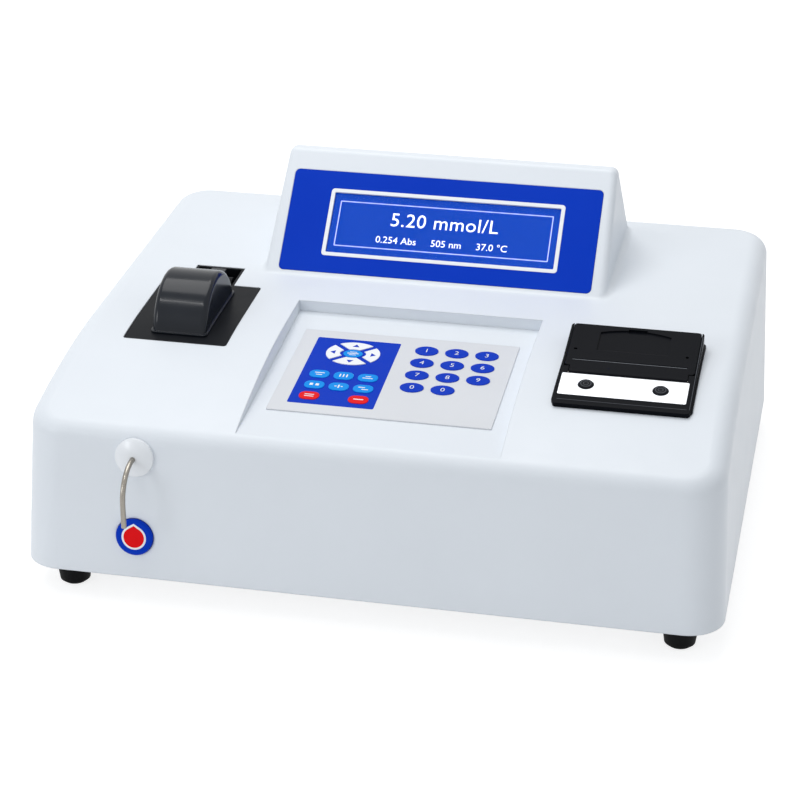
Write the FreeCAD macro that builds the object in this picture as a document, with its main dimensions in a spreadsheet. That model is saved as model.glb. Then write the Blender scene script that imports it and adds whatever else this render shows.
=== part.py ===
"""A semi-automatic chemistry analyzer for the bench: one moulded cover on a tray, with its parts inside.

Millimetres. X runs to the right, Y to the back and Z up; the feet stand on Z = 0.
Every piece is drawn from the middle of the cover's front bottom edge, and its Placement
then carries it by front_y, so that the origin is the middle of the whole footprint.
"""
import FreeCAD, Part
import math
import os
import re

import Sketcher

SIZES = {
    # the moulded cover
    "body_width": 440.0, "side_datum": 220.0, "body_depth": 367.9, "foot_height": 20.9, "top_height": 148.1,
    "cover_wall": 3.0, "corner_radius": 24.0, "block_rise": 150.0,
    "front_lean": 6.2, "side_draft": 2.6, "back_draft": 2.8,
    "top_slope": 2.2, "nose_slope": 17.7, "nose_start": 144.0, "nose_end": 10.3,
    "top_round": 12.0,
    # the display hood that rises out of the cover
    "hood_front": 217.0, "hood_behind": 23.9, "hood_length": 95.0, "hood_crown": 8.0,
    "hood_slope": 44.6, "hood_half": 117.3, "hood_low": 136.0, "hood_rise": 84.0, "hood_round": 5.0,
    "hood_foot_round": 5.0,
    # the display in the hood's face
    "panel_half": 106.8, "panel_low": 3.4, "panel_high": 79.2, "panel_thick": 1.2, "panel_corner": 3.5,
    "panel_sunk": 1.0, "window_left": 79.2, "window_right": 82.6, "window_low": 15.9, "window_high": 66.3,
    "bezel_wall": 2.7, "bezel_depth": 4.4, "bezel_proud": 0.3, "bezel_corner": 2.4, "glass_depth": 0.8,
    "module_margin": 5.0, "module_thick": 7.0, "board_thick": 1.6,
    # the keypad's recess in the nose
    "key_back": 178.3, "key_depth": 7.8, "key_slope": 5.27, "recess_half": 81.5, "recess_reach": 185.0,
    "film_half": 70.7, "film_front": 130.0, "film_back": 25.3, "film_thick": 0.8, "film_corner": 0.8,
    "key_rise": 0.4, "digit_long": 15.0, "digit_wide": 11.5, "digit_first": 13.0, "digit_step": 19.6,
    "digit_back": 41.7, "digit_pitch": 15.9, "command_long": 12.6, "command_wide": 9.2,
    "command_round": 4.1,
    "command_left": 48.0, "command_step": 15.7, "command_back": 82.5, "command_pitch": 13.8,
    "arrow_x": 32.9, "arrow_y": 53.5, "arrow_long": 34.9, "arrow_wide": 28.8, "arrow_ring": 8.8,
    "arrow_gap": 3.6, "centre_long": 12.4, "centre_wide": 9.2,
    # the black plate, its well and the slot behind it
    "plate_left": 179.9, "plate_right": 111.5, "plate_front": 103.7, "plate_back": 191.8,
    "plate_sunk": 0.3, "plate_thick": 1.3, "well_left": 160.6, "well_right": 131.4,
    "well_front": 118.6, "well_back": 175.8, "well_depth": 44.0, "tub_wall": 1.6,
    "slot_left": 163.7, "slot_right": 130.5, "slot_back": 220.3, "slot_depth": 18.0,
    # the domed lid over the well, and its hinge
    "lid_left": 163.6, "lid_right": 127.6, "lid_radius": 34.6, "lid_axis_y": 147.8, "lid_axis_z": 132.6,
    "lid_wall": 2.0, "lid_round": 3.5, "lid_lip": 0.9, "lid_lip_high": 1.1, "lid_gap": 0.35,
    "lid_pin_y": 205.5, "lid_pin_z": 136.6, "lid_pin_radius": 1.6, "knuckle_radius": 4.5,
    "arm_half": 5.0, "arm_low": 142.2, "arm_high": 145.4, "ear_gap": 0.4, "ear_thick": 5.2,
    # the measuring cell in the well
    "holder_long": 34.0, "holder_wide": 24.0, "holder_high": 30.0, "cell_side": 12.4, "cell_high": 28.0,
    "cell_slack": 0.1, "cell_floor": 3.0, "beam_over": 13.1, "beam_radius": 3.5,
    # the sampling point on the front wall
    "boss_x": 143.2, "boss_up": 80.0, "boss_radius": 12.2, "boss_rise": 5.6, "boss_stem": 8.0,
    "boss_stem_long": 9.0, "sipper_x": 143.0, "sipper_z": 101.0, "sipper_radius": 1.65, "sipper_bore": 1.0,
    "sipper_inside": 28.0, "sipper_bend": 20.0, "sipper_bend_y": -1.0, "sipper_tip": 15.0,
    "sipper_over": 0.5, "well_hose_z": 112.0, "drain_x": 152.0, "drain_z": 101.0,
    "touch_x": 143.9, "touch_up": 27.4, "touch_radius": 11.8, "touch_gap": 0.35, "touch_proud": 2.4,
    "touch_deep": 7.0, "touch_stem": 3.0, "touch_stem_long": 7.0, "touch_travel": 1.2,
    # the panel printer
    "deck_front": 68.8, "deck_lip": 3.0, "deck_slope": 11.0, "deck_left": 104.0, "deck_right": 188.3,
    "deck_length": 87.6, "flange_left": 103.0, "flange_right": 189.4, "flange_front": 71.0,
    "flange_back": 160.0, "flange_rise": 1.5, "bay_left": 109.0, "bay_right": 183.4, "bay_wall": 1.8,
    "bay_front": 33.1, "bay_back": 84.6, "bay_depth": 46.0, "front_bay": 8.5, "front_bay_deep": 13.0,
    "strip_left": 105.9, "strip_right": 184.8, "strip_front": 9.8, "strip_back": 32.2,
    "strip_thick": 1.2, "strip_sunk": 1.0, "feed_x": 122.1, "select_x": 168.1, "button_s": 21.5,
    "button_radius": 4.85, "button_gap": 0.25, "button_proud": 1.1, "button_deep": 6.0,
    "button_travel": 0.8,
    "door_left": 105.8, "door_right": 186.6, "door_thick": 2.4, "door_gap": 0.3, "door_start": 5.0,
    "door_pin_s": 36.4, "door_barrel": 2.6, "door_pin_radius": 1.2, "tear_s": 48.3, "tear_wide": 0.9,
    "tear_left": 109.6, "tear_right": 181.6, "hole_s": 59.4, "hole_radius": 1.1,
    "catch_left": 123.4, "catch_right": 168.2, "catch_front": 59.8, "catch_side": 79.8,
    "catch_top": 84.0, "catch_sunk": 0.9, "nail_left": 140.6, "nail_right": 152.4,
    "platen_s": 45.8, "platen_deep": 11.6, "platen_radius": 5.0, "platen_left": 116.0,
    "platen_right": 174.0, "shaft_radius": 2.0, "gear_teeth": 32.0, "pinion_teeth": 12.0,
    "gear_module": 0.5, "gear_wide": 3.6, "gear_x": 175.6, "head_thick": 3.2, "head_high": 9.8,
    "drive_radius": 5.4, "drive_long": 16.0,
    # the tray, the feet and their screws
    "tray_thick": 2.5, "tray_rim": 12.0, "tray_gap": 0.3, "foot_x": 193.2, "foot_front": 26.2,
    "foot_back": 341.7, "foot_ground": 9.2, "foot_top": 12.0, "foot_edge": 2.0, "screw_radius": 2.0,
    "screw_head": 4.0, "screw_head_high": 2.6, "screw_sunk": 7.5, "foot_bore": 4.6,
    "cover_screw_long": 16.0, "cover_screw_in": 9.5,
    "cover_screw_front": 62.0, "cover_screw_back": 306.0,
    # the light path's parts
    "bench_left": 182.0, "bench_right": 38.0, "bench_front": 107.5, "bench_back": 187.0,
    "bench_thick": 6.0, "post_radius": 5.0, "wheel_x": 117.0, "wheel_thick": 3.0, "wheel_radius": 34.0,
    "wheel_ring": 27.0, "filter_radius": 4.0, "filter_count": 8.0, "filter_thick": 5.0,
    "wheel_room": 36.0, "wheel_hub": 7.0, "wheel_motor_radius": 11.0, "wheel_motor_long": 26.0,
    "wheel_shaft": 1.5,
    "lamp_left": 80.0, "lamp_long": 40.0, "lamp_wide": 34.0, "lamp_high": 30.0, "fin_count": 6.0,
    "bulb_radius": 5.5, "bulb_long": 16.0, "lens_radius": 8.0, "lens_thick": 5.0,
    "sensor_x": 171.0, "sensor_wide": 34.0, "sensor_high": 30.0,
    # the peristaltic pump
    "pump_x": 170.0, "pump_z": 62.0, "pump_front": 46.0, "pump_outer": 26.0, "pump_track": 20.0,
    "pump_deep": 18.0, "pump_back": 4.0, "hose_radius": 1.6, "roller_radius": 4.4,
    "rotor_plate": 2.0, "rotor_radius": 15.0, "pump_shaft": 2.5, "pump_motor_radius": 17.0,
    "pump_motor_long": 34.0, "roller_pin": 1.2,
    # boards and supply
    "main_left": -20.0, "main_right": 200.0, "main_front": 36.0, "main_back": 172.0,
    "standoff_high": 8.0, "standoff_radius": 3.0, "board_screw": 1.5,
    "supply_left": 88.0, "supply_right": 196.0,
    "supply_long": 82.0, "supply_behind": 45.9, "supply_high": 38.0,
    # the rear wall's fittings
    "fan_x": -20.0, "fan_up": 62.0, "fan_side": 60.0, "fan_deep": 15.0, "fan_bore": 28.0,
    "fan_hub": 12.0, "fan_blades": 7.0, "fan_corner": 4.0, "grille_slot": 3.0, "grille_pitch": 6.0,
    "inlet_x": 150.0, "inlet_up": 36.0, "inlet_wide": 50.0, "inlet_high": 28.0, "socket_wide": 27.0,
    "socket_high": 19.0, "socket_deep": 17.0, "inlet_flange": 2.5, "inlet_deep": 22.0,
    "inlet_screw": 20.0, "switch_x": 104.0, "switch_wide": 24.0, "switch_high": 17.0, "switch_deep": 16.0,
    "rocker_wide": 16.4, "rocker_high": 11.6, "rocker_swing": 10.0, "rocker_deep": 2.0,
    "serial_x": 56.0, "serial_up": 30.0, "serial_wide": 30.8, "serial_high": 12.5,
    "nipple_x": 178.0, "nipple_up": 40.0, "nipple_radius": 3.0,
    "nipple_bore": 1.5, "nipple_long": 12.0,
}

doc = FreeCAD.newDocument("chemistry_analyzer")
sizes = doc.addObject("Spreadsheet::Sheet", "sizes")
for line, (alias, amount) in enumerate(SIZES.items(), start=1):
    sizes.set(f"A{line}", alias)
    sizes.set(f"B{line}", str(amount))
    sizes.setAlias(f"B{line}", alias)
doc.recompute()

NODES = []
X_AXIS = FreeCAD.Vector(1, 0, 0)
Y_AXIS = FreeCAD.Vector(0, 1, 0)
Z_AXIS = FreeCAD.Vector(0, 0, 1)

SIPPER_REACH = "(sipper_bend_y + sipper_bend + sipper_radius)"
BACK_REACH = ("(nipple_long * cos(back_draft * 1 deg)"
              " - (nipple_up - nipple_bore - 0.7) * sin(back_draft * 1 deg))")
FRONT_Y = f"(({SIPPER_REACH} - body_depth - {BACK_REACH}) / 2)"
NOSE_RADIUS = "((nose_start - nose_end) / (sin(nose_slope * 1 deg) - sin(top_slope * 1 deg)))"
NOSE_TOP = "(top_height - tan(top_slope * 1 deg) * (body_depth - nose_start))"
NOSE_Y = f"(nose_start + {NOSE_RADIUS} * sin(top_slope * 1 deg))"
NOSE_Z = f"({NOSE_TOP} - {NOSE_RADIUS} * cos(top_slope * 1 deg))"
CENTRE_X = "-((lid_left + lid_right) / 2)"
HOOD_BACK = "(body_depth - hood_behind)"
SUPPLY_BACK = "(body_depth - supply_behind)"
SUPPLY_FRONT = f"({SUPPLY_BACK} - supply_long)"


def surface(y):
    """How high the flat back part of the cover's top is at y."""
    return f"(top_height - tan(top_slope * 1 deg) * (body_depth - ({y})))"


def nose(y):
    """How high the rounded nose of the cover's top is at y."""
    return f"({NOSE_Z} + sqrt({NOSE_RADIUS} ^ 2 - ({y} - {NOSE_Y}) ^ 2))"


HOOD_FOOT = surface("hood_front")
WELL_FLOOR = f"({nose('well_front')} - well_depth)"
SLOT_FLOOR = f"({surface('plate_back')} - slot_depth)"
BEAM = f"({WELL_FLOOR} + beam_over)"
HOOD_TOP = f"({HOOD_FOOT} + hood_length * sin(hood_slope * 1 deg))"
HOOD_TOP_BACK = "(hood_front + hood_length * cos(hood_slope * 1 deg) + hood_crown)"
KEY_FLOOR = f"({surface('key_back')} - key_depth)"
DECK_HEIGHT = f"({nose('deck_front')} + deck_lip)"
TRAY_TOP = "(foot_height + tray_thick)"

# where a group of pieces is drawn flat: the y and z of its origin, and its tilt about X
FRAMES = {
    "body": ("0", "0", "0"),
    "wall": ("0", "foot_height", "-front_lean"),
    "rear": ("body_depth", "foot_height", "back_draft"),
    "keys": ("key_back", KEY_FLOOR, "key_slope"),
    "face": ("hood_front", HOOD_FOOT, "hood_slope"),
    "deck": ("deck_front", DECK_HEIGHT, "deck_slope"),
}


# places along X that keep their distance from the cover's side when its width changes
OUTWARD = {
    "plate_left", "plate_right", "well_left", "well_right", "slot_left", "slot_right", "lid_left",
    "lid_right",
    "boss_x", "sipper_x", "drain_x", "touch_x", "bench_left", "wheel_x", "lamp_left", "sensor_x", "pump_x",
    "nipple_x",
    "deck_left", "deck_right", "flange_left", "flange_right", "bay_left", "bay_right", "strip_left",
    "strip_right", "feed_x", "select_x", "door_left", "door_right", "tear_left", "tear_right", "catch_left",
    "catch_right", "nail_left", "nail_right", "platen_left", "platen_right", "gear_x", "main_right",
    "supply_left", "supply_right", "inlet_x", "switch_x", "serial_x", "foot_x",
}


def linked(text):
    """The expression with the name of each size pointing at its cell."""
    def cell(match):
        name = match[0]
        if name not in SIZES:
            return name
        if name in OUTWARD:
            return f"(sizes.{name} + sizes.body_width / 2 - sizes.side_datum)"
        return "sizes." + name

    return re.sub(r"[a-z_]+", cell, str(text))


def number(text):
    """What an expression over the sizes comes to."""
    result = sizes.evalExpression(linked(text))
    return float(getattr(result, "Value", result))


def bind(item, **links):
    """Ties properties of an object to expressions over the sizes."""
    for name, text in links.items():
        item.setExpression(name, linked(text))
    return item


def place(item, x="0", y="0", z="0"):
    """Puts an object's own origin at x, y, z."""
    for name, text in (("x", x), ("y", y), ("z", z)):
        item.setExpression(f"Placement.Base.{name}", linked(text))
    return item


def seat(item, frame, shift="0"):
    """Lays an object that was drawn flat into one of the FRAMES."""
    y, z, tilt = FRAMES[frame]
    item.Placement = FreeCAD.Placement(FreeCAD.Vector(), FreeCAD.Rotation(X_AXIS, 1))
    item.setExpression("Placement.Rotation.Angle", linked(tilt))
    return place(item, "0", f"{y} + {shift}", z)


def node(item, label, frame="body"):
    """Makes an object one of the analyzer's named pieces."""
    item.Label = label
    seat(item, frame, FRONT_Y)
    NODES.append(item)
    return item


def block(name, x, y, z):
    """A box between three pairs of expressions."""
    item = doc.addObject("Part::Box", name)
    bind(item, Length=f"({x[1]}) - ({x[0]})", Width=f"({y[1]}) - ({y[0]})", Height=f"({z[1]}) - ({z[0]})")
    return place(item, x[0], y[0], z[0])


def rod(name, radius, x, y, z, length, axis="Z"):
    """A cylinder that starts at x, y, z and runs along an axis."""
    item = doc.addObject("Part::Cylinder", name)
    bind(item, Radius=radius, Height=length)
    turns = {"X": FreeCAD.Rotation(Y_AXIS, 90), "Y": FreeCAD.Rotation(X_AXIS, -90), "Z": FreeCAD.Rotation()}
    item.Placement = FreeCAD.Placement(FreeCAD.Vector(), turns[axis])
    return place(item, x, y, z)


def fuse(name, *items):
    """Several objects as one solid."""
    item = doc.addObject("Part::MultiFuse", name)
    item.Shapes = list(items)
    item.Refine = True
    return item


def cut(name, base, *tools):
    """An object with others taken out of it."""
    item = doc.addObject("Part::Cut", name)
    item.Base = base
    if len(tools) > 1:
        group = doc.addObject("Part::Compound", name + "_tools")
        group.Links = list(tools)
        item.Tool = group
    else:
        item.Tool = tools[0]
    item.Refine = True
    return item


def common(name, *items):
    """What several objects share."""
    item = doc.addObject("Part::MultiCommon", name)
    item.Shapes = list(items)
    item.Refine = True
    return item


def group(name, *items):
    """Separate solids kept together in one piece of the list."""
    item = doc.addObject("Part::Compound", name)
    item.Links = list(items)
    return item


def rounded(name, base, *choices):
    """An object with edges rounded: each choice is a test of an edge, and the radius for it."""
    doc.recompute()
    item = doc.addObject("Part::Fillet", name)
    item.Base = base
    edges = []
    for index, edge in enumerate(base.Shape.Edges, start=1):
        for wanted, radius in choices:
            if wanted(edge):
                edges.append((index, number(radius), number(radius)))
                break
    item.Edges = edges
    return item


def runs_along(edge, axis, share=0.98):
    """Whether a straight edge lies along an axis."""
    if len(edge.Vertexes) < 2:
        return False
    line = edge.Vertexes[1].Point.sub(edge.Vertexes[0].Point)
    return line.Length > 0 and abs(line.dot(axis)) > share * line.Length


def draw(sketch, loops):
    """Draws closed loops in a sketch, each corner and radius tied to the sizes.

    A loop is a list of corners, or ("circle", u, v, radius), or ("panel", u0, u1, v0, v1, radius).
    A corner is (u, v), or (u, v, radius, centre_u, centre_v) where an arc leads to it clockwise.
    """
    for loop in loops:
        first = sketch.GeometryCount
        if loop[0] == "circle":
            centre = FreeCAD.Vector(number(loop[1]), number(loop[2]), 0)
            sketch.addGeometry(Part.Circle(centre, Z_AXIS, number(loop[3])))
            fix(sketch, "DistanceX", first, 3, loop[1])
            fix(sketch, "DistanceY", first, 3, loop[2])
            fix(sketch, "Radius", first, 0, loop[3])
        elif loop[0] == "panel":
            draw_panel(sketch, *loop[1:])
        else:
            draw_corners(sketch, loop)


def fix(sketch, kind, shape, point, text):
    """Ties one measure of a sketch to an expression."""
    amount = number(text)
    if kind == "Radius":
        index = sketch.addConstraint(Sketcher.Constraint(kind, shape, amount))
    else:
        index = sketch.addConstraint(Sketcher.Constraint(kind, -1, 1, shape, point, amount))
    sketch.setExpression(f"Constraints[{index}]", linked(text))


def draw_corners(sketch, corners):
    """A loop of straight lines and clockwise arcs from corner to corner."""
    first = sketch.GeometryCount
    points = [FreeCAD.Vector(number(corner[0]), number(corner[1]), 0) for corner in corners]
    ends = []
    for index, corner in enumerate(corners):
        start, end = points[index - 1], points[index]
        if len(corner) > 2:
            centre = FreeCAD.Vector(number(corner[3]), number(corner[4]), 0)
            angles = [math.atan2(point.y - centre.y, point.x - centre.x) for point in (end, start)]
            circle = Part.Circle(centre, Z_AXIS, number(corner[2]))
            sketch.addGeometry(Part.ArcOfCircle(circle, angles[0], angles[1]))
            ends.append((2, 1))
        else:
            sketch.addGeometry(Part.LineSegment(start, end))
            ends.append((1, 2))
    for index, corner in enumerate(corners):
        after = (index + 1) % len(corners)
        joint = Sketcher.Constraint("Coincident", first + index, ends[index][1], first + after,
                                    ends[after][0])
        sketch.addConstraint(joint)
        fix(sketch, "DistanceX", first + index, ends[index][1], corner[0])
        fix(sketch, "DistanceY", first + index, ends[index][1], corner[1])
        if len(corner) > 2:
            fix(sketch, "Radius", first + index, 0, corner[2])


def draw_panel(sketch, left, right, low, high, radius):
    """A rectangle with round corners."""
    first = sketch.GeometryCount
    a, b, c, d, r = (number(text) for text in (left, right, low, high, radius))
    lines = [(a + r, c, b - r, c), (b, c + r, b, d - r), (b - r, d, a + r, d), (a, d - r, a, c + r)]
    bends = [(b - r, c + r, 270), (b - r, d - r, 0), (a + r, d - r, 90), (a + r, c + r, 180)]
    for line, bend in zip(lines, bends):
        start, end = FreeCAD.Vector(line[0], line[1], 0), FreeCAD.Vector(line[2], line[3], 0)
        sketch.addGeometry(Part.LineSegment(start, end))
        circle = Part.Circle(FreeCAD.Vector(bend[0], bend[1], 0), Z_AXIS, r)
        angle = math.radians(bend[2])
        sketch.addGeometry(Part.ArcOfCircle(circle, angle, angle + math.pi / 2))
    for index in range(8):
        after = first + (index + 1) % 8
        sketch.addConstraint(Sketcher.Constraint("Tangent", first + index, 2, after, 1))
    for index in (0, 4):
        sketch.addConstraint(Sketcher.Constraint("Horizontal", first + index))
        sketch.addConstraint(Sketcher.Constraint("Vertical", first + index + 2))
    for index in (3, 5, 7):
        sketch.addConstraint(Sketcher.Constraint("Equal", first + 1, first + index))
    fix(sketch, "Radius", first + 1, 0, radius)
    fix(sketch, "DistanceX", first + 6, 1, left)
    fix(sketch, "DistanceX", first + 2, 1, right)
    fix(sketch, "DistanceY", first, 1, low)
    fix(sketch, "DistanceY", first + 4, 1, high)


def sketch_in(body, plane, loops, start="0"):
    """A sketch on one of a body's own planes, moved along the plane's axis."""
    sketch = body.newObject("Sketcher::SketchObject", body.Name + "_outline")
    support = [item for item in body.Origin.OriginFeatures if item.Role == plane][0]
    sketch.AttachmentSupport = [(support, "")]
    sketch.MapMode = "FlatFace"
    sign = "-1 * " if plane == "XZ_Plane" else ""
    sketch.setExpression("AttachmentOffset.Base.z", linked(f"{sign}({start})"))
    draw(sketch, loops)
    return sketch


def prism(name, plane, loops, start, length):
    """A body padded from an outline, from start and along the plane's axis."""
    body = doc.addObject("PartDesign::Body", name)
    sketch = sketch_in(body, plane, loops, start)
    pad = body.newObject("PartDesign::Pad", name + "_pad")
    pad.Profile = sketch
    pad.Reversed = plane == "XZ_Plane"
    bind(pad, Length=length)
    return body


def turned(name, corners):
    """A body turned about Z from half of its section, as radius and height."""
    body = doc.addObject("PartDesign::Body", name)
    sketch = sketch_in(body, "XZ_Plane", [corners])
    turning = body.newObject("PartDesign::Revolution", name + "_turning")
    turning.Profile = sketch
    turning.ReferenceAxis = (sketch, ["V_Axis"])
    turning.Angle = 360
    return body


def along(item, axis, x, y, z):
    """Lays a body that was turned about Z along another axis."""
    turns = {"Y": FreeCAD.Rotation(X_AXIS, -90), "-Y": FreeCAD.Rotation(X_AXIS, 90),
             "X": FreeCAD.Rotation(Y_AXIS, 90), "Z": FreeCAD.Rotation()}
    item.Placement = FreeCAD.Placement(FreeCAD.Vector(), turns[axis])
    return place(item, x, y, z)


def cover_walls(name, depth):
    """The four leaning walls as one block, drawn in by depth, with rounded upright corners."""
    depth = f"({depth})"
    item = doc.addObject("Part::Wedge", name + "_wedge")
    side = "tan(side_draft * 1 deg) * block_rise"
    bind(item, Ymin="0", Ymax="block_rise",
         Xmin=f"{depth} - body_width / 2", Xmax=f"body_width / 2 - {depth}",
         Zmin=f"{depth} - body_depth", Zmax=f"-1 * {depth}",
         X2min=f"{depth} - body_width / 2 + {side}", X2max=f"body_width / 2 - {depth} - {side}",
         Z2min=f"{depth} - body_depth + tan(back_draft * 1 deg) * block_rise",
         Z2max=f"-1 * {depth} - tan(front_lean * 1 deg) * block_rise")
    item.Placement = FreeCAD.Placement(FreeCAD.Vector(), FreeCAD.Rotation(X_AXIS, 90))
    place(item, z="foot_height")
    return rounded(name, item, (lambda edge: runs_along(edge, Z_AXIS, 0.9), f"corner_radius - {depth}"))


def under_top(name, depth):
    """Everything below the cover's top face, drawn in by depth."""
    end = "((nose_slope + 5) * 1 deg)"
    radius = f"({NOSE_RADIUS} - ({depth}))"
    back = "(body_depth + 20)"
    corners = [
        (f"{NOSE_Y} - {radius} * sin{end}", "-20"),
        (f"{NOSE_Y} - {radius} * sin{end}", f"{NOSE_Z} + {radius} * cos{end}"),
        (f"nose_start + ({depth}) * sin(top_slope * 1 deg)",
         f"{NOSE_TOP} - ({depth}) * cos(top_slope * 1 deg)", radius, NOSE_Y, NOSE_Z),
        (back, f"{surface(back)} - ({depth}) / cos(top_slope * 1 deg)"),
        (back, "-20"),
    ]
    return prism(name, "YZ_Plane", [corners], "-body_width / 2 - 20", "body_width + 40")


def hood(name, depth):
    """The display hood as one solid, drawn in by depth, with its edges rounded."""
    wedge = doc.addObject("Part::Wedge", name + "_wedge")
    side = "tan(side_draft * 1 deg) * hood_rise"
    bind(wedge, Ymin="0", Ymax="hood_rise", Zmin="-body_depth", Zmax="0", Z2min="-body_depth", Z2max="0",
         Xmin=f"{depth} - hood_half", Xmax=f"hood_half - {depth}",
         X2min=f"{depth} - hood_half + {side}", X2max=f"hood_half - {depth} - {side}")
    wedge.Placement = FreeCAD.Placement(FreeCAD.Vector(), FreeCAD.Rotation(X_AXIS, 90))
    place(wedge, z="hood_low")
    foot_back = surface(HOOD_BACK)
    fall = f"atan(({HOOD_TOP} - {foot_back}) / ({HOOD_BACK} - {HOOD_TOP_BACK}))"

    def front(z):
        run = f"({z} - {HOOD_FOOT}) / tan(hood_slope * 1 deg)"
        return f"hood_front + {run} + {depth} / sin(hood_slope * 1 deg)"

    def back(z):
        return f"{HOOD_BACK} - ({z} - {foot_back}) / tan({fall}) - {depth} / sin({fall})"

    top = f"({HOOD_TOP} - {depth})"
    corners = [(front("hood_low"), "hood_low"), (front(top), top), (back(top), top),
               (back("hood_low"), "hood_low")]
    side_view = prism(name + "_side", "YZ_Plane", [corners], "-hood_half - 10", "2 * hood_half + 20")
    whole = common(name + "_form", wedge, side_view)
    low = number("hood_low") + 0.01
    radius = f"hood_round - {depth} / 2"
    return rounded(name, whole, (lambda edge: max(point.Z for point in edge.Vertexes) > low, radius))


def beam_hole(name, low, high):
    """The bore that the light goes through, along X."""
    return rod(name, "beam_radius", low, "lid_axis_y", BEAM, f"({high}) - ({low})", "X")


def top_layer(name, x, y, top, bottom, corner="1.5"):
    """A rectangle of the cover's top face, between two depths below it."""
    plan = prism(name + "_plan", "XY_Plane", [("panel", *x, *y, corner)], "60", "140")
    upper = common(name + "_upper", plan, under_top(name + "_top", top))
    return cut(name, upper, under_top(name + "_bottom", bottom))


def laid(name, frame, *items):
    """Objects that were drawn flat, laid together into one of the FRAMES."""
    return seat(group(name, *items), frame)


def oval(name, long, wide, x, y, z, height):
    """An upright solid with an elliptic outline."""
    outline = doc.addObject("Part::Ellipse", name + "_outline")
    bind(outline, MajorRadius=f"({long}) / 2", MinorRadius=f"({wide}) / 2")
    place(outline, x, y, z)
    item = doc.addObject("Part::Extrusion", name)
    item.Base = outline
    item.Dir = Z_AXIS
    item.Solid = True
    return bind(item, LengthFwd=height)


def middle(centre, wide):
    """The two ends of a stretch about a centre."""
    return f"({centre}) - ({wide}) / 2", f"({centre}) + ({wide}) / 2"


def soft_block(name, depth):
    """The block between the leaning walls and under the top face, with its upper edges rounded."""
    block_form = common(name + "_form", cover_walls(name + "_block", depth),
                        under_top(name + "_top", depth))
    low = number("foot_height") + 1

    def on_top(edge):
        return min(point.Z for point in edge.Vertexes) > low and not runs_along(edge, Z_AXIS, 0.8)

    return rounded(name, block_form, (on_top, f"top_round - {depth}"))


def build_cover():
    """The moulded cover: leaning walls, a rounded nose and the hood, with its recess and openings."""
    soft = soft_block("cover_walls", "0")
    inside = soft_block("cover_room", "cover_wall")
    joined = fuse("cover_joined", soft, hood("hood_outer", "0"))

    front, back, half = number("hood_front - 1"), number(f"{HOOD_BACK} + 1"), number("hood_half + 1")
    height, fall = number(surface("0")), math.tan(math.radians(number("top_slope")))

    def at_foot(edge):
        points = [corner.Point for corner in edge.Vertexes] + [edge.CenterOfMass]
        return all(abs(point.z - height - fall * point.y) < 0.01 and front < point.y < back
                   and abs(point.x) < half for point in points)

    outer = rounded("cover_outer", joined, (at_foot, "hood_foot_round"))
    inner = fuse("cover_inner", inside, hood("hood_inner", "cover_wall"))
    shell = cut("cover_shell", outer, inner)
    tub = block("recess_tub", ("-recess_half - cover_wall", "recess_half + cover_wall"),
                ("-recess_reach", "cover_wall"), ("-cover_wall", "40"))
    lining = common("recess_lining", laid("recess_tub_laid", "keys", tub), soft)
    bosses = [common("cover_boss_" + name, inside,
                     rod("cover_post_" + name, "screw_head + 1.5", x, y, TRAY_TOP, "cover_screw_long + 2"))
              for name, x, y in SCREW_SPOTS]
    whole = fuse("cover_whole", shell, lining, *bosses)
    bores = [rod("cover_bore_" + name, "screw_radius + 0.05", x, y, "foot_height", "cover_screw_long + 2")
             for name, x, y in SCREW_SPOTS]
    node(cut("cover_opened", whole, *cover_rooms(), *bores), "top_cover")


SIDES = (("left", "-1"), ("right", "1"))
SCREW_SPOTS = [(f"{side}_{end}", f"{sign} * (body_width / 2 - cover_screw_in)", f"cover_screw_{end}")
               for side, sign in SIDES for end in ("front", "back")]
FOOT_SPOTS = [(f"{end}_{side}", f"{sign} * foot_x", f"foot_{end}")
              for end in ("front", "back") for side, sign in SIDES]


def cover_rooms():
    """Everything that is taken out of the cover for the pieces that it carries."""
    recess = block("recess_room", ("-recess_half", "recess_half"), ("-recess_reach - 10", "0"), ("0", "60"))
    panel = prism("panel_room", "XY_Plane", [("panel", "-panel_half - 0.15", "panel_half + 0.15",
                  "panel_low - 0.15", "panel_high + 0.15", "panel_corner")], "-panel_sunk", "20")
    window = prism("window_room", "XY_Plane", [("panel", "-window_left", "window_right", "window_low",
                   "window_high", "bezel_corner")], "-20", "22")
    plan = prism("plate_room_plan", "XY_Plane", [("panel", "-plate_left - 0.2", "0.2 - plate_right",
                 "plate_front - 0.2", "plate_back + 0.2", "2")], "60", "140")
    plate = cut("plate_room", plan, under_top("plate_floor", "plate_sunk + plate_thick"))
    well = block("well_room", ("-well_left - tub_wall - 0.3", "tub_wall + 0.3 - well_right"),
                 ("well_front - tub_wall - 0.3", "well_back + tub_wall + 0.3"), ("60", "180"))
    slot = block("slot_room", ("-slot_left - 0.2", "0.2 - slot_right"),
                 ("plate_back - tub_wall - 0.3", "slot_back + 0.2"), ("100", "180"))
    printer = block("printer_room", ("bay_left - bay_wall - 0.4", "bay_right + bay_wall + 0.4"),
                    ("front_bay - bay_wall - 0.4", "bay_back + bay_wall + 0.4"), ("-60", "20"))
    boss = rod("boss_room", "boss_stem + 0.1", "-boss_x", "-20", "boss_up", "40", "Y")
    touch = rod("touch_room", "touch_radius + touch_gap", "-touch_x", "-20", "touch_up", "40", "Y")
    return [laid("recess_laid", "keys", recess), laid("display_rooms", "face", panel, window),
            plate, well, slot,
            laid("printer_laid", "deck", printer), laid("front_rooms", "wall", boss, touch), rear_rooms()]


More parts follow.
